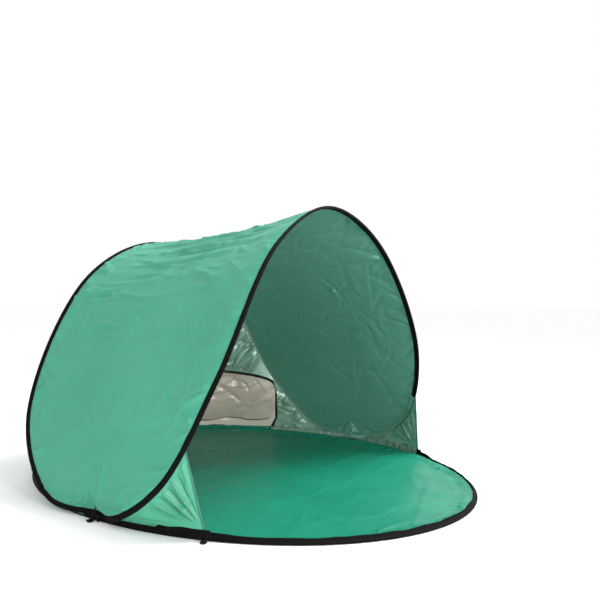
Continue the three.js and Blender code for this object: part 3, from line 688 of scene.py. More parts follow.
def stitches(name, point, inward, normal, inset, height):
    """A line of stitches along a ring of frames."""
    ring = point + inward * np.reshape(inset, (-1, 1)) + normal * height
    closed = np.concatenate([ring, ring[:1]])
    run = run_along(closed)
    stops = np.arange(0, run[-1] - STITCH_PITCH, STITCH_PITCH)

    def at(values):
        values = np.concatenate([values, values[:1]])
        return np.stack([np.interp(stops, run, values[:, k]) for k in range(3)], axis=-1)

    centre, up = at(ring), unit(at(normal))
    x = unit(np.gradient(centre, axis=0))
    up = unit(up - x * np.sum(up * x, axis=1, keepdims=True))
    return blocks(name, centre, x, np.cross(up, x), up, STITCH, [thread])


canopy_binding = binding(
    "canopy_tape", point, inward, normal, HOOP_LENGTH, 21, REACH + 0 * stations, 0.0008, 0.05,
)
canopy_stitches = [
    stitches(f"canopy_stitches_{side}", point, inward, normal, REACH - 0.003, height)
    for side, height in (("outside", LEG + 0.0002), ("inside", -LEG - 0.0002))
]

FLOOR_REACH, FRONT_REACH = 0.0245, 0.0185  # the floor's tape behind the gussets and in front of them
GUSSET_EXTRA = 0.009  # how much wider it is under a gusset
FRONT_TILT = 50.0  # how steeply it stands where no cloth is sewn in, in degrees
STEEPEST = 104.0  # it never leans further out than this
HOOP_CLEAR = 0.0078  # from the canopy's wire to the floor's tape
FLOOR_COUNT = 900


def sewn_cloth():
    """Where cloth is sewn to the floor's tape: angles round the floor, tilts, and the room below the hoop."""
    rows = []
    for station in np.arange(GUSSET_TOP, REAR_TOP + 0.1, 0.25):
        if station < FOOT:
            angle = mix(FOOT_ANGLE, GUSSET_ANGLE, (FOOT - station) / (FOOT - GUSSET_TOP))
        else:
            angle = mix(FOOT_ANGLE, 90.0, ((station - FOOT) / FOOT) ** WALL_SPREAD)  # 90 is the rear
        foot, inward, up, _ = floor_frame(np.array([angle]))
        rise = wire(np.array([station])) - foot
        along, high = np.sum(rise * inward), np.sum(rise * up)
        tilt = min(math.degrees(math.atan2(high, along)), STEEPEST)
        a = math.radians(tilt)
        beside = abs(high * math.cos(a) - along * math.sin(a))
        room = 1.0  # any width, where the hoop is out of the way
        if beside < HOOP_CLEAR:
            room = along * math.cos(a) + high * math.sin(a) - math.sqrt(HOOP_CLEAR**2 - beside**2)
        rows.append((angle, tilt, room))
    return np.array(rows).T


def floor_tape_frame(degrees):
    """The floor's tape at an angle: wire, way up the tape, its outer side, and how far it reaches."""
    point, inward, up, _ = floor_frame(degrees)
    folded = 90 - np.abs(90 - np.mod(degrees + 90, 360) + 90)  # the left half's angles as the right half's
    angle, tilt, room = sewn_cloth()
    room = np.clip(room, 0.0075, FLOOR_REACH + GUSSET_EXTRA)
    near = np.arange(-3, 3.1, 0.5)  # tilt and width are evened out over a few degrees
    reach = np.mean([np.interp(folded + shift, angle, room, left=1.0) for shift in near], axis=0)
    angle = np.concatenate([[-90, GUSSET_ANGLE - 7, GUSSET_ANGLE - 2], angle])
    tilt = np.concatenate([[FRONT_TILT, FRONT_TILT, tilt[0]], tilt])
    a = np.radians(np.mean([np.interp(folded + shift, angle, tilt) for shift in near], axis=0))[:, None]
    under_gusset = smooth((folded - GUSSET_ANGLE + 2) / 3) * smooth((-5 - folded) / 4)
    widest = mix(FRONT_REACH, FLOOR_REACH, smooth((folded - GUSSET_ANGLE + 7) / 5))
    reach = np.minimum(reach, widest + GUSSET_EXTRA * under_gusset)
    lean = inward * np.cos(a) + up * np.sin(a)
    outer = up * np.cos(a) - inward * np.sin(a)
    return point, lean, outer, reach


floor_angles = np.arange(FLOOR_COUNT) * 360 / FLOOR_COUNT
f_point, f_lean, f_norm, f_reach = floor_tape_frame(floor_angles)
f_in, f_up = floor_frame(floor_angles)[1:3]
FLOOR_ARC = run_along(np.concatenate([f_point, f_point[:1]]))
FLOOR_ROUND = FLOOR_ARC[-1]
floor_binding = binding("floor_tape", f_point, f_lean, f_norm, FLOOR_ROUND, 31, f_reach, 0.0022, 0.10)
floor_stitch = stitches("floor_stitches", f_point, f_lean, f_norm, f_reach - 0.004, LEG + 0.0004)

COVER_BEAD, COVER_FLAT = 0.0062, 0.0030  # from the wire and from the tape's middle to the sewn-in cloth


def seam_cover(name, point, inward, up, reach, cloth, last, crumple=0.0):
    """The cloth sewn in along a seam. It covers the tape's side that up points to, to last degrees round."""
    raised = crumple * np.abs(noise1(np.arange(len(reach)) / 4.1, 57))
    rises = ((1.08, 0.4), (0.75, 1.0), (0.5, 0.6))  # place across the tape, and share of the crumple there
    section = [(share * reach, COVER_FLAT + raised * rise) for share, rise in rises]
    for a in np.radians(np.linspace(40, last, 6)):
        section.append((COVER_BEAD * math.cos(a) + 0 * reach, COVER_BEAD * math.sin(a) + 0 * reach))
    section = np.array(section).transpose(2, 0, 1)
    P = point[:, None] + inward[:, None] * section[..., :1] + up[:, None] * section[..., 1:]
    N = grid_normals(P, False)
    N = N * np.sign(np.sum(N[:, 1] * up))
    return face_out(shell(name, P, N, [cloth]))


canopy_covers = []
for name, first, final in (
    ("right_gusset_seam", GUSSET_TOP + 0.3, FOOT - 0.02),
    ("rear_wall_seam", FOOT + 0.02, STATIONS - FOOT - 0.02),
    ("left_gusset_seam", STATIONS - FOOT + 0.02, STATIONS - GUSSET_TOP - 0.3),
):
    cover = np.linspace(first, final, int(abs(final - first) * 13))
    c_point, c_inward, c_normal = canopy_frame(cover)[:3]
    canopy_covers.append(seam_cover(name, c_point, c_inward, -c_normal, REACH + 0 * cover, seam_cloth, 120))


def floor_seam(name, start, end, share, seed, cloth):
    """A seam cover on the inside of the floor's tape from one angle to another, with a ragged edge."""
    angles = np.linspace(start, end, int(abs(end - start) * 6))
    point, lean, outer, reach = floor_tape_frame(angles)
    reach = reach * share + 0.0015 * noise1(angles / 1.3, seed) + 0.001 * noise1(angles / 0.5, seed + 1)
    return seam_cover(name, point, lean, -outer, reach, cloth, 110, 0.007)


ZIP_FOOT_ANGLE = 24.0
floor_covers = [
    floor_seam("right_floor_seam", FOOT_ANGLE, ZIP_FOOT_ANGLE, 0.96, 33, wall_in),
    floor_seam("rear_floor_seam", ZIP_FOOT_ANGLE + 0.3, 180 - ZIP_FOOT_ANGLE - 0.3, 0.86, 35, floor_top),
    floor_seam("left_floor_seam", 180 - ZIP_FOOT_ANGLE, 180 - FOOT_ANGLE, 0.96, 37, wall_in),
    floor_seam("right_front_seam", GUSSET_ANGLE + 0.5, FOOT_ANGLE - 0.1, 0.96, 38, gusset_in),
    floor_seam("left_front_seam", 180 - FOOT_ANGLE + 0.1, 180 - GUSSET_ANGLE - 0.5, 0.96, 39, gusset_in),
]

# ---- Floor ----


def floor_creases():
    """The floor's folds, in metres from its middle."""
    r = np.random.default_rng(41)
    lines = []
    for _ in range(46):
        at = r.uniform(-0.7, 0.7), r.uniform(-0.85, 0.85)
        way = aimed(r.normal(0.35, 0.35), r.uniform(0.08, 0.34))
        lines.append(stroke(r, at, way, (0.006, 0.014), (0.0010, 0.0030), 0.02))
    return lines


FLOOR_RIM_TILT = math.radians(62)  # the steepest rise of the floor into its tape
FLOOR_INSET = 0.010  # how far into the tape its cloth goes


def floor_surface():
    """The floor's sheet: flat on the ground, and rising into its tape all round."""
    rings = np.concatenate([np.linspace(0, 0.90, 64), np.linspace(0.91, 1, 22)])
    flat = np.sum(f_lean * f_in, axis=1, keepdims=True)
    flat = np.maximum(flat, math.cos(FLOOR_RIM_TILT))
    stand = np.minimum(np.sqrt(1 - flat**2), math.sin(FLOOR_RIM_TILT))
    rim = f_point + f_in * FLOOR_INSET * flat + f_up * FLOOR_INSET * stand
    P = rings[None, :, None] * rim[:, None] * np.array([1.0, 1.0, 0.0])
    depth = np.linalg.norm((rim * np.array([1, 1, 0]))[:, None] - P, axis=2)
    arc = FLOOR_ARC[:-1][:, None]
    width = 0.055 + 0.020 * noise1(FLOOR_ARC[:-1] / FLOOR_ROUND * 46, 44)[:, None]
    rise = smooth(1 - depth / width)
    top = (rim[:, 2])[:, None]
    x, y = P[..., 0], P[..., 1]
    fold = creases(x, y, floor_creases())
    fold = fold + 0.0016 * (noise2(x / 0.11, y / 0.19, 47) + 0.6 * noise2(x / 0.05, y / 0.09, 48))
    fold = fold + 0.0030 * ridged(x / 0.22 + y / 0.5, y / 0.10, 49)
    fold = np.maximum(fold + 0.0012, 0.0) * smooth(depth / 0.06)
    pulls = rim_pulls(arc, depth, 51, 230, FLOOR_ROUND, 0.080, 0.0048)
    pulls = pulls * smooth(depth / 0.03) * smooth((0.16 - depth) / 0.16)
    z = 0.0006 + top * rise + fold + np.maximum(pulls, 0)
    z = np.minimum(z, top + 0.006 * smooth((depth - 0.02) / 0.06))
    P = np.stack([x, y, z], axis=-1)
    return P[:, ::-1]


P_floor = floor_surface()
N_floor = 0 * P_floor + np.array([0.0, 0.0, 1.0])
floor = shell("floor_sheet", P_floor, N_floor, [floor_top, floor_under], **ROUND)

# ---- Gussets ----

# Fan folds of a gusset: place from its free edge (0) to its floor seam (1), width and height
FANS = [
    (0.07, 0.018, 0.012),
    (0.15, 0.022, -0.012),
    (0.24, 0.018, 0.016),
    (0.33, 0.026, -0.014),
    (0.42, 0.018, 0.015),
    (0.52, 0.030, -0.014),
    (0.62, 0.020, 0.014),
    (0.73, 0.026, -0.010),
    (0.84, 0.022, 0.010),
]


def gusset(side, name):
    """A gusset with its fan folds, and its points and normals."""
    nu, nv = 110, 90
    u, v = np.linspace(0, 1, nu)[:, None], np.linspace(0, 1, nv)[None, :]
    station = mix(FOOT - 1.2, GUSSET_TOP, u)
    share = (FOOT - station) / (FOOT - GUSSET_TOP)
    top = wire(station)
    base, lean, _, reach = floor_tape_frame(mix(FOOT_ANGLE, GUSSET_ANGLE, share)[:, 0])
    foot = (base + lean * reach[:, None] * 0.6)[:, None]
    height = np.linalg.norm(top - foot, axis=-1, keepdims=True)
    P = foot + (top - foot) * (0.002 + v[..., None] * (height - 0.004)) / height
    N = grid_normals(P, False)
    N = N * np.sign(np.sum(N * np.array([1.0, -0.6, 0.1]), axis=-1, keepdims=True))

    # The folds fan out from the front corner
    corner = P[-1, 0]
    rel = P - corner
    reach = np.linalg.norm(rel, axis=-1)
    edge, seam = unit(P[-1, -1] - corner), unit(P[0, 0] - corner)
    beside = unit(np.cross(N[nu // 2, nv // 2], edge))
    turn = np.arctan2(rel @ beside, rel @ edge) / math.atan2(seam @ beside, seam @ edge)
    lift = 0 * reach
    for at, wide, high in FANS:
        lift = lift + high * np.exp(-1.2 * np.abs((turn - at) / wide)) * bell((reach - 0.15) / 0.17)
    lift = lift + 0.003 * noise2(turn * 9, reach / 0.12, 61) + 0.005 * ridged(turn * 5, reach / 0.07, 62)
    above, below = v * height[..., 0], (1 - v) * height[..., 0]
    fade = smooth(reach / 0.03) * smooth((above - 0.020) / 0.03) * smooth((below - 0.006) / 0.03)
    fade = fade * smooth((1 - u + 0 * v) / 0.09)
    P = P + N * (lift * fade)[..., None]
    if side < 0:
        P, N = mirrored(P), mirrored(N)
    return face_out(shell(name, P, N, [gusset_cloth, gusset_in])), P, N


right_gusset, P_rg, N_rg = gusset(1, "gusset_right")
left_gusset, P_lg, N_lg = gusset(-1, "gusset_left")


def ribbon(name, line, across, up, width, thickness, materials):
    """A flat tape centred on a line."""
    w, h = across * width / 2, up * thickness / 2
    section = np.stack([line + w + h, line - w + h, line - w - h, line + w - h], axis=1)
    return face_out(tube(name, section, materials, False))


# Each hem's dark green is painted shade along the gusset's folded free edge.
gusset_hems = []
for name, P, N in (("gusset_hem_right", P_rg, N_rg), ("gusset_hem_left", P_lg, N_lg)):
    inwards = unit(P[-4] - P[-1])
    gusset_hems.append(ribbon(name, P[-1] + inwards * 0.003, inwards, N[-1], 0.007, 0.0022, [hem_painted_shade]))

# ---- Rear wall, window and zip ----


def wall_thread(station):
    """The straight line up the bare wall to a station of the hoop: its foot, its way up and its length."""
    share = np.maximum(station - FOOT, 0) / FOOT
    foot = floor_point(mix(FOOT_ANGLE, 90, share**WALL_SPREAD))
    top = wire(station)
    return foot, unit(top - foot), np.linalg.norm(top - foot, axis=-1)


def wall_point(sideways, up):
    """A place on the bare wall, in metres sideways from its middle and up its thread."""
    foot, direction, _ = wall_thread(REAR_TOP - np.abs(sideways) / WALL_PITCH)
    P = foot + direction * np.asarray(up)[..., None]
    return np.where((sideways < 0)[..., None], mirrored(P), P)


def wall_normal(sideways, up):
    e = 0.002
    across = wall_point(sideways + e, up) - wall_point(sideways - e, up)
    upwards = wall_point(sideways, up + e) - wall_point(sideways, up - e)
    return unit(np.cross(upwards, across))


def quadratic(a, b, c, count):
    t = np.linspace(0, 1, count)[:, None]
    return (1 - t) ** 2 * np.array(a) + 2 * t * (1 - t) * np.array(b) + t * t * np.array(c)


# The right half of the zip in metres sideways and up: its top, its corner, its straight side and its foot
ZIP_TOP, ZIP_SHOULDER, ZIP_SIDE = 0.413, (0.945, 0.288), 1.030
SIDE_TOP, SIDE_LOW = 0.225, 0.070
ARCH_STOPS, CORNER_STOPS = 160, 24
zip_line = np.concatenate([
    quadratic((0, ZIP_TOP), (ZIP_SHOULDER[0] / 2, ZIP_TOP), ZIP_SHOULDER, ARCH_STOPS),
    quadratic(ZIP_SHOULDER, (ZIP_SIDE, 0.269), (ZIP_SIDE, SIDE_TOP), CORNER_STOPS)[1:],
    np.linspace((ZIP_SIDE, SIDE_TOP), (ZIP_SIDE, SIDE_LOW), 20)[1:],
    np.linspace((ZIP_SIDE, SIDE_LOW), (0.996, 0.010), 9)[1:],
])
zip_run = run_along(zip_line)
CORNER_RUN = zip_run[ARCH_STOPS + CORNER_STOPS // 2 - 1]  # down the zip to the middle of its corner
ZIP_COVER = 0.0060  # from the middle of the zip to the cloth on either side


def zip_at(run, outwards):
    """Sideways and up at a distance down the right half of the zip, and a distance out from the window."""

    def spot(r):
        r = np.clip(r, 0, zip_run[-1])
        return np.stack([np.interp(r, zip_run, zip_line[:, k]) for k in range(2)], axis=-1)

    tangent = unit(spot(run + 0.008) - spot(run - 0.008))
    out = np.stack([-tangent[..., 1], tangent[..., 0]], axis=-1)
    return spot(run) + out * np.asarray(outwards)[..., None]


def wall_grid():
    """Sideways and up of the wall's right half: the first index along the zip, the second out from it."""
    down = np.concatenate([np.linspace(0, CORNER_RUN, 190), np.linspace(CORNER_RUN, zip_run[-1], 110)[1:]])
    inner = [zip_at(down, np.full(len(down), ZIP_COVER))]
    end = (REAR_TOP - WALL_END) * WALL_PITCH
    side = np.linspace(inner[0][-1, 0], end, 41)[1:]
    foot = np.interp(side, [side[0], side[0] + 0.03], [inner[0][-1, 1], 0.003])
    inner.append(np.stack([side, foot], axis=-1))
    inner = np.concatenate(inner)
    run = run_along(inner)
    # Down the zip the wall's threads end at the rear top, above the corner, above the side and above the foot
    stops = [0, CORNER_RUN, (CORNER_RUN + zip_run[-1]) / 2, zip_run[-1], run[-1]]
    station = np.interp(run, stops, [REAR_TOP, 31.0, 29.3, 28.0, WALL_END])
    _, _, height = wall_thread(station)
    outer = np.stack([(REAR_TOP - station) * WALL_PITCH, height - 0.003], axis=-1)
    v = np.linspace(0, 1, 130)[None, :, None]
    return mix(inner[:, None], outer[:, None], v)


def wall_creases():
    """The wall's folds, in metres sideways and up."""
    r = np.random.default_rng(71)
    lines = []
    for _ in range(70):  # crumples between the zip and the canopy
        at = r.uniform(-1.0, 1.0), r.uniform(0.40, 0.92)
        way = aimed(r.choice([-1, 1]) * r.uniform(0.5, 1.2), r.uniform(0.05, 0.17))
        lines.append(stroke(r, at, way, (0.006, 0.013), (0.006, 0.018), 0.02, both_ways=True))
    for side in (-1, 1):
        for _ in range(26):  # diagonal crumples over the corner, which the camera sees
            at = side * r.uniform(0.62, 1.0), r.uniform(0.34, 0.60)
            way = aimed(side * r.uniform(0.7, 1.25), r.uniform(0.04, 0.12))
            lines.append(stroke(r, at, way, (0.006, 0.011), (0.008, 0.020), 0.02, both_ways=True))
        for y in np.arange(0.03, 0.29, 0.019):  # level pleats beside the zip
            y0 = y + r.normal(0, 0.004)
            end = side * r.uniform(1.12, 1.25), y0 * 0.75 + r.normal(0, 0.012)
            lines.append(((side * 1.03, y0), end, 0.005, r.uniform(0.008, 0.015), r.normal(0, 0.004)))
        for x in np.arange(1.05, 1.32, 0.035):  # small pulls along the floor seam
            end = side * (x + r.normal(0, 0.02)), r.uniform(0.04, 0.09)
            lines.append(((side * x, 0.0), end, 0.008, r.uniform(0.006, 0.014)))
    return lines


FOLD_ROUND = 0.004  # how softly a fold that goes one way only starts


def wall_lift(sideways, up, edge):
    """The wall's folds, which go inwards only."""
    x, y = sideways, up
    lift = 0.022 * ridged(x / 0.16 - y / 0.15, y / 0.14, 77) - 0.020 - creases(x, y, WALL_CREASES)
    lift = lift + 0.012 * noise2(x / 0.13, y / 0.12, 73) + 0.004 * noise2(x / 0.05, y / 0.05, 74)
    lift = lift + 0.014 * ridged(x / 0.09 + y / 0.12, y / 0.11 - x / 0.2, 75)
    lift = lift + 0.010 * ridged(x / 0.05 - y / 0.06, y / 0.06, 76)
    return 0.5 * (lift - np.sqrt(lift**2 + FOLD_ROUND**2)) * edge


WALL_CREASES = wall_creases()
half = wall_grid()
grid = np.concatenate([(half * np.array([-1.0, 1.0]))[::-1], half[1:]])
S, U = grid[..., 0], grid[..., 1]
W = wall_point(S, U)
NW = wall_normal(S, U)
edge_share = np.linspace(0, 1, W.shape[1])[None, :]
span = np.linalg.norm(W[:, -1] - W[:, 0], axis=-1)[:, None]
beside_zip = np.interp(np.abs(S[:, :1]), [0.5, 0.8], [0.075, 0.028])
edge = smooth(edge_share * span / beside_zip) * smooth((1 - edge_share) * span / 0.04)
W = W + NW * wall_lift(S, U, edge)[..., None]
rear_wall = face_out(shell("rear_wall_sheet", W, -NW, [wall_in, wall_out]))


def arch_grid(columns, rows, inset, low):
    """Sideways and up of a sheet inside the zip's arch."""
    t = np.linspace(-1, 1, columns)
    top = zip_at(np.abs(t) * CORNER_RUN, np.full(columns, -inset))
    corner = zip_at(np.array([CORNER_RUN]), np.array([-inset]))[0]
    v = np.linspace(0, 1, rows)
    side = zip_at(mix(zip_run[-1], CORNER_RUN, v), np.full(rows, -inset))
    side[0] = side[1] + (side[0] - side[1]) * (side[1, 1] - low) / (side[1, 1] - side[0, 1])
    rise = (side[:, 1] - low) / (corner[1] - low)
    x = np.sign(t)[:, None] * top[:, 0][:, None] * side[None, :, 0] / corner[0]
    y = mix(low, top[:, 1][:, None], rise[None, :])
    return x, y


def flap_creases():
    """The flap's folds, in metres sideways and up."""
    r = np.random.default_rng(81)
    lines = []
    for _ in range(44):
        at = r.uniform(-0.98, 0.98), r.uniform(0.05, 0.36)
        way = aimed(r.normal(0, 0.6), r.uniform(0.07, 0.20))
        lines.append(stroke(r, at, way, (0.005, 0.012), (0.006, 0.018), 0.02))
    return lines


FLAP_CREASES = flap_creases()


def flap_lift(sideways, up):
    """The flap's folds, which go outwards only, so that it stays clear of the mesh."""
    top = ZIP_TOP - (ZIP_TOP - ZIP_SHOULDER[1]) * (sideways / ZIP_SHOULDER[0]) ** 2
    edge = smooth((ZIP_SIDE - 0.01 - np.abs(sideways)) / 0.04) * smooth((up - 0.021) / 0.03)
    edge = edge * smooth((top - up) / 0.04)
    fold = creases(sideways, up, FLAP_CREASES) + 0.010 * noise2(sideways / 0.16, up / 0.13, 83)
    fold = fold + 0.014 * ridged(sideways / 0.24 + up / 0.2, up / 0.12 - sideways / 0.3, 84)
    fold = fold + 0.004 * ridged(sideways / 0.12 - up / 0.1, up / 0.06, 85)
    return 0.5 * (fold + np.sqrt(fold**2 + FOLD_ROUND**2)) * edge


S, U = arch_grid(340, 66, ZIP_COVER, 0.003)
F = wall_point(S, U)
NF = wall_normal(S, U)
F = F + NF * flap_lift(S, U)[..., None]
OUT = 1.0 if np.mean(NF[..., 1]) > 0 else -1.0
flap = face_out(shell("window_flap_sheet", F, NF * OUT, [flap_out, flap_in]))

HEM_LOW, HEM_HIGH = 0.040, 0.060  # the mesh's lower edge, at the middle and a metre to the side
MESH_HOLLOW = 0.012  # how far the mesh hangs inside the flap at its middle
S, U = arch_grid(260, 44, ZIP_COVER, 0.003)
hem = HEM_LOW + 0.012 * noise1(S[:, :1] / 0.11 + 40, 91) + (HEM_HIGH - HEM_LOW) * np.abs(S[:, :1])
U = mix(hem, U[:, -1:], (U - U[:, :1]) / (U[:, -1:] - U[:, :1]))
NM = wall_normal(S, U) * OUT
behind = 0.003 + 0.002 * noise2(S / 0.15, U / 0.14, 93)
hollow = smooth((U - U[:, :1]) / 0.06) * smooth((U[:, -1:] - U) / 0.10)
hollow = MESH_HOLLOW * hollow * smooth((ZIP_SIDE - 0.02 - np.abs(S)) / 0.15)
M = wall_point(S, U) + NM * (0.75 * flap_lift(S, U) - behind - hollow)[..., None]
window_mesh = face_out(shell("window_mesh_sheet", M, NM, [mesh_cloth], thickness=0.0005))
hem_across = unit(M[:, 1] - M[:, 0])
mesh_hem = ribbon("window_mesh_hem", M[:, 0], hem_across, NM[:, 0], 0.005, 0.0016, [zip_tape])


def both_sides(run):
    """The run down the zip from its left foot over the top to its right foot, and the side's sign."""
    sign = np.concatenate([-np.ones(len(run) - 1), np.ones(len(run))])
    return np.concatenate([run[::-1][:-1], run]), sign


ZIP_TAPE = (0.0010, 0.0074)  # from the zip's middle to the near and far edge of its tape
ZIP_TAPE_THICK = 0.0014
TOOTH_PITCH = 0.0034
TOOTH = (TOOTH_PITCH * 0.42, 0.0036, 0.0024)


def zip_ribbon(name, side):
    """The zip's tape on the wall for side 1, and on the flap for side -1."""
    run, sign = both_sides(np.linspace(0, zip_run[-1], 330))
    edges = []
    for offset in ZIP_TAPE:
        flat = zip_at(run, np.full(len(run), side * offset))
        edges.append((flat[:, 0] * sign, flat[:, 1]))
    near, far = (wall_point(*edge) for edge in edges)
    width = float(np.mean(np.linalg.norm(far - near, axis=1)))
    normals = wall_normal(*edges[0]) * OUT
    return ribbon(name, (near + far) / 2, unit(far - near), normals, width, ZIP_TAPE_THICK, [zip_tape])


def zip_teeth(name, side):
    """One row of the zip's teeth. The flap's row sits half a pitch from the wall's."""
    run, sign = both_sides(np.arange(0.001, zip_run[-1], TOOTH_PITCH))
    run = np.clip(run + (TOOTH_PITCH / 2 if side > 0 else 0), 0, zip_run[-1])
    flat = zip_at(run, np.full(len(run), side * 0.0007))
    centre = wall_point(flat[:, 0] * sign, flat[:, 1])
    normals = wall_normal(flat[:, 0] * sign, flat[:, 1]) * OUT
    x = unit(np.gradient(centre, axis=0))
    y = unit(np.cross(normals, x))
    return blocks(name, centre, x, y, np.cross(x, y), TOOTH, [coil])


zip_wall, zip_flap = zip_ribbon("zip_tape_wall", 1), zip_ribbon("zip_tape_flap", -1)
teeth_wall, teeth_flap = zip_teeth("zip_teeth_wall", 1), zip_teeth("zip_teeth_flap", -1)

# ---- Webbing: peg loops, hoop ties and gusset tabs ----


def strap(name, path, across, width, thickness):
    """Webbing along a path, with across its width direction."""
    along = unit(np.gradient(path, axis=0))
    wide = unit(across + 0 * along)
    up = unit(np.cross(along, wide))
    return ribbon(name, path, wide, up, width, thickness, [webbing])


def arc_path(points, count):
    """A smooth path through a few points."""
    points = np.asarray(points, float)
    last = len(points) - 1
    out = []
    for run in np.linspace(0, last, count):
        i = min(int(run), last - 1)
        t = run - i
        a, b, c, d = [points[max(0, min(last, i + k))] for k in (-1, 0, 1, 2)]
        out.append(cubic(b, c, (c - a) / 2, (d - b) / 2, t))
    return np.array(out)


# A peg loop's side view: out from the floor's wire and up from the ground
LOOP_OUTLINE = [
    (0.0093, 0.0010), (0.0213, 0.0009), (0.0308, 0.0012), (0.0341, 0.0038),
    (0.0308, 0.0070), (0.0213, 0.0066), (0.0093, 0.0072),
]
LOOP_SEAM = (0.0123, 0.0078)
LOOP_WIDE, SEAM_WIDE, SEAM_STITCHES = 0.0165, 0.0130, 9
# A tie's places: out from the floor's wire, up from the ground and, for its knot, along the wire
TIE_BAND = [
    (0.0045, 0.0015), (0.0064, 0.0080), (0.0070, 0.0150),
    (0.0072, 0.0220), (0.0050, 0.0290), (0.0005, 0.0325),
]
TIE_KNOT = [
    (0.0080, 0.0190, -0.011), (0.0130, 0.0215, -0.004), (0.0132, 0.0205, 0.004), (0.0080, 0.0180, 0.011),
]
TIE_ENDS = [(-0.016, 0.050), (-0.050, 0.026), (-0.026, 0.0015)]  # along the floor's wire and up
KNOT_ALONG = -0.021  # the knot sits in front of the peg loop, which can turn up beside it


def outside(degrees, sign):
    """Where webbing sits outside the floor's hoop: a place out, up and along, and the three axes."""
    base, inwards, up, tangent = (v[0] for v in floor_frame(np.array([degrees])))
    flip = np.array([sign, 1.0, 1.0])

    def spot(out, high, along=0.0):
        return (base * np.array([1, 1, 0]) - inwards * out + up * high + tangent * along) * flip

    return spot, tangent * flip, -inwards * flip, up


def peg_loop(name, degrees, sign):
    """A peg loop and the row of stitches on its seam."""
    spot, along, out, up = outside(degrees, sign)
    path = arc_path([spot(*place) for place in LOOP_OUTLINE], 44)
    loop = strap(name + "_webbing", path, along, LOOP_WIDE, 0.0012)
    places = np.linspace(-SEAM_WIDE / 2, SEAM_WIDE / 2, SEAM_STITCHES)
    centres = np.array([spot(*LOOP_SEAM, place) for place in places])
    axes = [np.repeat(v[None], SEAM_STITCHES, 0) for v in (along, out, up)]
    return loop, blocks(name + "_stitches", centres, *axes, (0.0011, 0.0006, 0.0006), [thread])


pieces_by_loop = {}
for side, sign in (("right", 1.0), ("left", -1.0)):
    for place, degrees in (("side", FOOT_ANGLE), ("front", GUSSET_ANGLE), ("rear", REAR_LOOP_ANGLE)):
        name = f"{side}_{place}_peg_loop"
        pieces_by_loop[name] = peg_loop(name, degrees, sign)


def tie(side, sign):
    """A tape tie round both bindings at the foot, knotted on the outside with three short ends."""
    spot, along, _, up = outside(FOOT_ANGLE, sign)
    band = arc_path([spot(*place) for place in TIE_BAND], 30)
    made = [strap(f"{side}_tie_band", band, along, 0.020, 0.0011)]
    knot = arc_path([spot(x, z, KNOT_ALONG + place) for x, z, place in TIE_KNOT], 20)
    made.append(strap(f"{side}_tie_knot", knot, up, 0.014, 0.0040))
    for k, (place, z) in enumerate(TIE_ENDS):
        bend = spot(0.0145, mix(0.0200, z, 0.4), mix(KNOT_ALONG, place, 0.45))
        end = arc_path([spot(0.0110, 0.0200, KNOT_ALONG), bend, spot(0.0120, z, place)], 20)
        made.append(strap(f"{side}_tie_end_{k}", end, up * (1 - k / 2) + along, 0.009, 0.0012))
    return made


ties = {"right": tie("right", 1.0), "left": tie("left", -1.0)}


def gusset_patch(side, sign):
    """The reinforcing patch over the foot of a gusset's free edge, on the floor's binding."""
    nu, nv = 44, 18
    u, v = np.linspace(-1, 1, nu)[:, None], np.linspace(0, 1, nv)[None, :]
    half_width = 0.027 * (0.52 + 0.48 * (1 - v) ** 1.6)
    turn = np.degrees(u * half_width / 0.93)  # the floor's wire is about 0.93 m from the middle here
    base, lean, out, _ = floor_tape_frame((GUSSET_ANGLE + turn).ravel())
    base, lean, out = (w.reshape(nu, nv, 3) for w in (base, lean, out))
    height = 0.001 + 0.031 * v + 0 * u
    stand = 0.0056 - 0.0022 * smooth(v / 0.35) + 0.0010 * np.cos(u * 7) * (1 - v)
    P = base + lean * height[..., None] + out * stand[..., None]
    N = grid_normals(P, False)
    N = N * np.sign(np.sum(N * out, axis=-1, keepdims=True))
    if sign < 0:
        P, N = mirrored(P), mirrored(N)
    return face_out(shell(f"{side}_gusset_patch", P, N, [webbing], thickness=0.0016))


patches = {"right": gusset_patch("right", 1.0), "left": gusset_patch("left", -1.0)}

# ---- What rides on what ----

on_tent = [canopy, canopy_binding, *canopy_stitches, floor, floor_binding, floor_stitch]
on_tent += [right_gusset, left_gusset, *gusset_hems, rear_wall, window_mesh, mesh_hem, zip_wall, teeth_wall]
on_tent += [*canopy_covers, *floor_covers, *ties["right"], *ties["left"], patches["right"], patches["left"]]
for piece in on_tent:
    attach(piece, "tent")
for piece in (flap, zip_flap, teeth_flap):
    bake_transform(piece)
for name, pieces in pieces_by_loop.items():
    for piece in pieces:
        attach(piece, name)

for piece, node in (
    (canopy, "canopy_panel"),
    (canopy_binding, "canopy_binding"),
    (floor, "floor_panel"),
    (floor_binding, "floor_binding"),
    (right_gusset, "right_gusset"),
    (left_gusset, "left_gusset"),
    (rear_wall, "rear_wall"),
    (window_mesh, "window_mesh"),
    (flap, "window_flap"),
    (zip_wall, "zip_wall_half"),
    (zip_flap, "zip_flap_half"),
):
    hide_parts(node)
for name, (loop, seam) in pieces_by_loop.items():
    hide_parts(name)
for side in ("right", "left"):
    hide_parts(f"{side}_hoop_tie")
    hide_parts(f"{side}_gusset_tab")

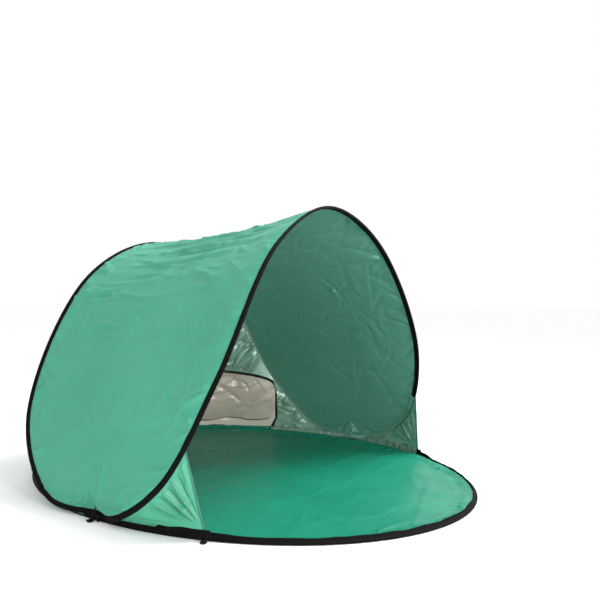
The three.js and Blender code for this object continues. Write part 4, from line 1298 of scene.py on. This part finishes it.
slots = {
    "canopy_fabric": [canopy, *canopy_covers],
    "floor_fabric": [floor, floor_covers[1]],
    "wall_fabric": [rear_wall, floor_covers[0], *floor_covers[2:], right_gusset, left_gusset, *gusset_hems],
    "flap_fabric": [flap],
    "window_mesh": [window_mesh],
    "binding_tape": [canopy_binding, floor_binding, *canopy_stitches, floor_stitch, mesh_hem],
    "zip_tape": [zip_wall, zip_flap, teeth_wall, teeth_flap],
    "webbing": [*ties["right"], *ties["left"], *patches.values()],
}
for pair in pieces_by_loop.values():
    slots["webbing"] += pair
for name, pieces in slots.items():
    for piece in pieces:
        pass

# The hard parts of the CAD keep their shapes.
for node, material in (
    ("canopy_hoop", steel),
    ("floor_hoop", steel),
    ("canopy_hoop_ferrule", steel),
    ("floor_hoop_ferrule", steel),
    ("zip_slider", black_metal),
    ("zip_pull", black_metal),
):
    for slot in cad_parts[node].material_slots:
        slot.material = material

# ---- Stage, camera and light ----

STAGE_HALF, STAGE_Z = 30, -0.0006  # the stage lies just below the floor's underside

ground = Nodes("pale_ground")
paper = ground.ramp(ground.noise(3.0), (0.3, linear("#fbfbfb")), (0.7, linear("#fefefe")))
ground_body = ground.add("ShaderNodeBsdfPrincipled")
ground.put(paper, ground_body.inputs["Base Color"])
ground_body.inputs["Roughness"].default_value = 0.9
ground.finish(ground_body.outputs[0])
corners = [(x * STAGE_HALF, y * STAGE_HALF, STAGE_Z) for x, y in ((-1, -1), (1, -1), (1, 1), (-1, 1))]
new_object("stage_floor", corners, [(0, 1, 2, 3)], [ground.material])

world = bpy.data.worlds.new("studio")
bpy.context.scene.world = world
world.use_nodes = True
world.node_tree.nodes["Background"].inputs["Color"].default_value = (1, 1, 1, 1)
world.node_tree.nodes["Background"].inputs["Strength"].default_value = 1.0


def area_light(name, place, target, size, power):
    light = bpy.data.lights.new(name, "AREA")
    light.shape = "DISK"
    light.size = size
    light.energy = power
    obj = bpy.data.objects.new(name, light)
    bpy.context.scene.collection.objects.link(obj)
    obj.location = place
    obj.rotation_euler = (Vector(target) - Vector(place)).to_track_quat("-Z", "Y").to_euler()


area_light("key", (2.0, -1.6, 3.6), (0, 0, 0.3), 2.4, 225)
area_light("front", (-1.5, -3.8, 0.9), (0.3, 0.2, 0.6), 0.8, 80)

AZIMUTH, ELEVATION, DISTANCE = math.radians(-49.33), math.radians(11.71), 2.956
AIM = Vector((0.0145, 0.0132, 0.1638))
LENS, SENSOR, SHIFT = 41.09, 36.0, (0.1009, 0.2200)
level = math.cos(ELEVATION)
back = Vector((math.sin(AZIMUTH) * level, -math.cos(AZIMUTH) * level, math.sin(ELEVATION)))
camera_data = bpy.data.cameras.new("camera")
camera_data.lens = LENS
camera_data.sensor_width = SENSOR
camera_data.shift_x, camera_data.shift_y = SHIFT
camera = bpy.data.objects.new("camera", camera_data)
bpy.context.scene.collection.objects.link(camera)
camera.location = AIM + back * DISTANCE
camera.rotation_euler = (-back).to_track_quat("-Z", "Y").to_euler()
bpy.context.scene.camera = camera
bpy.context.scene.view_settings.view_transform = "Standard"
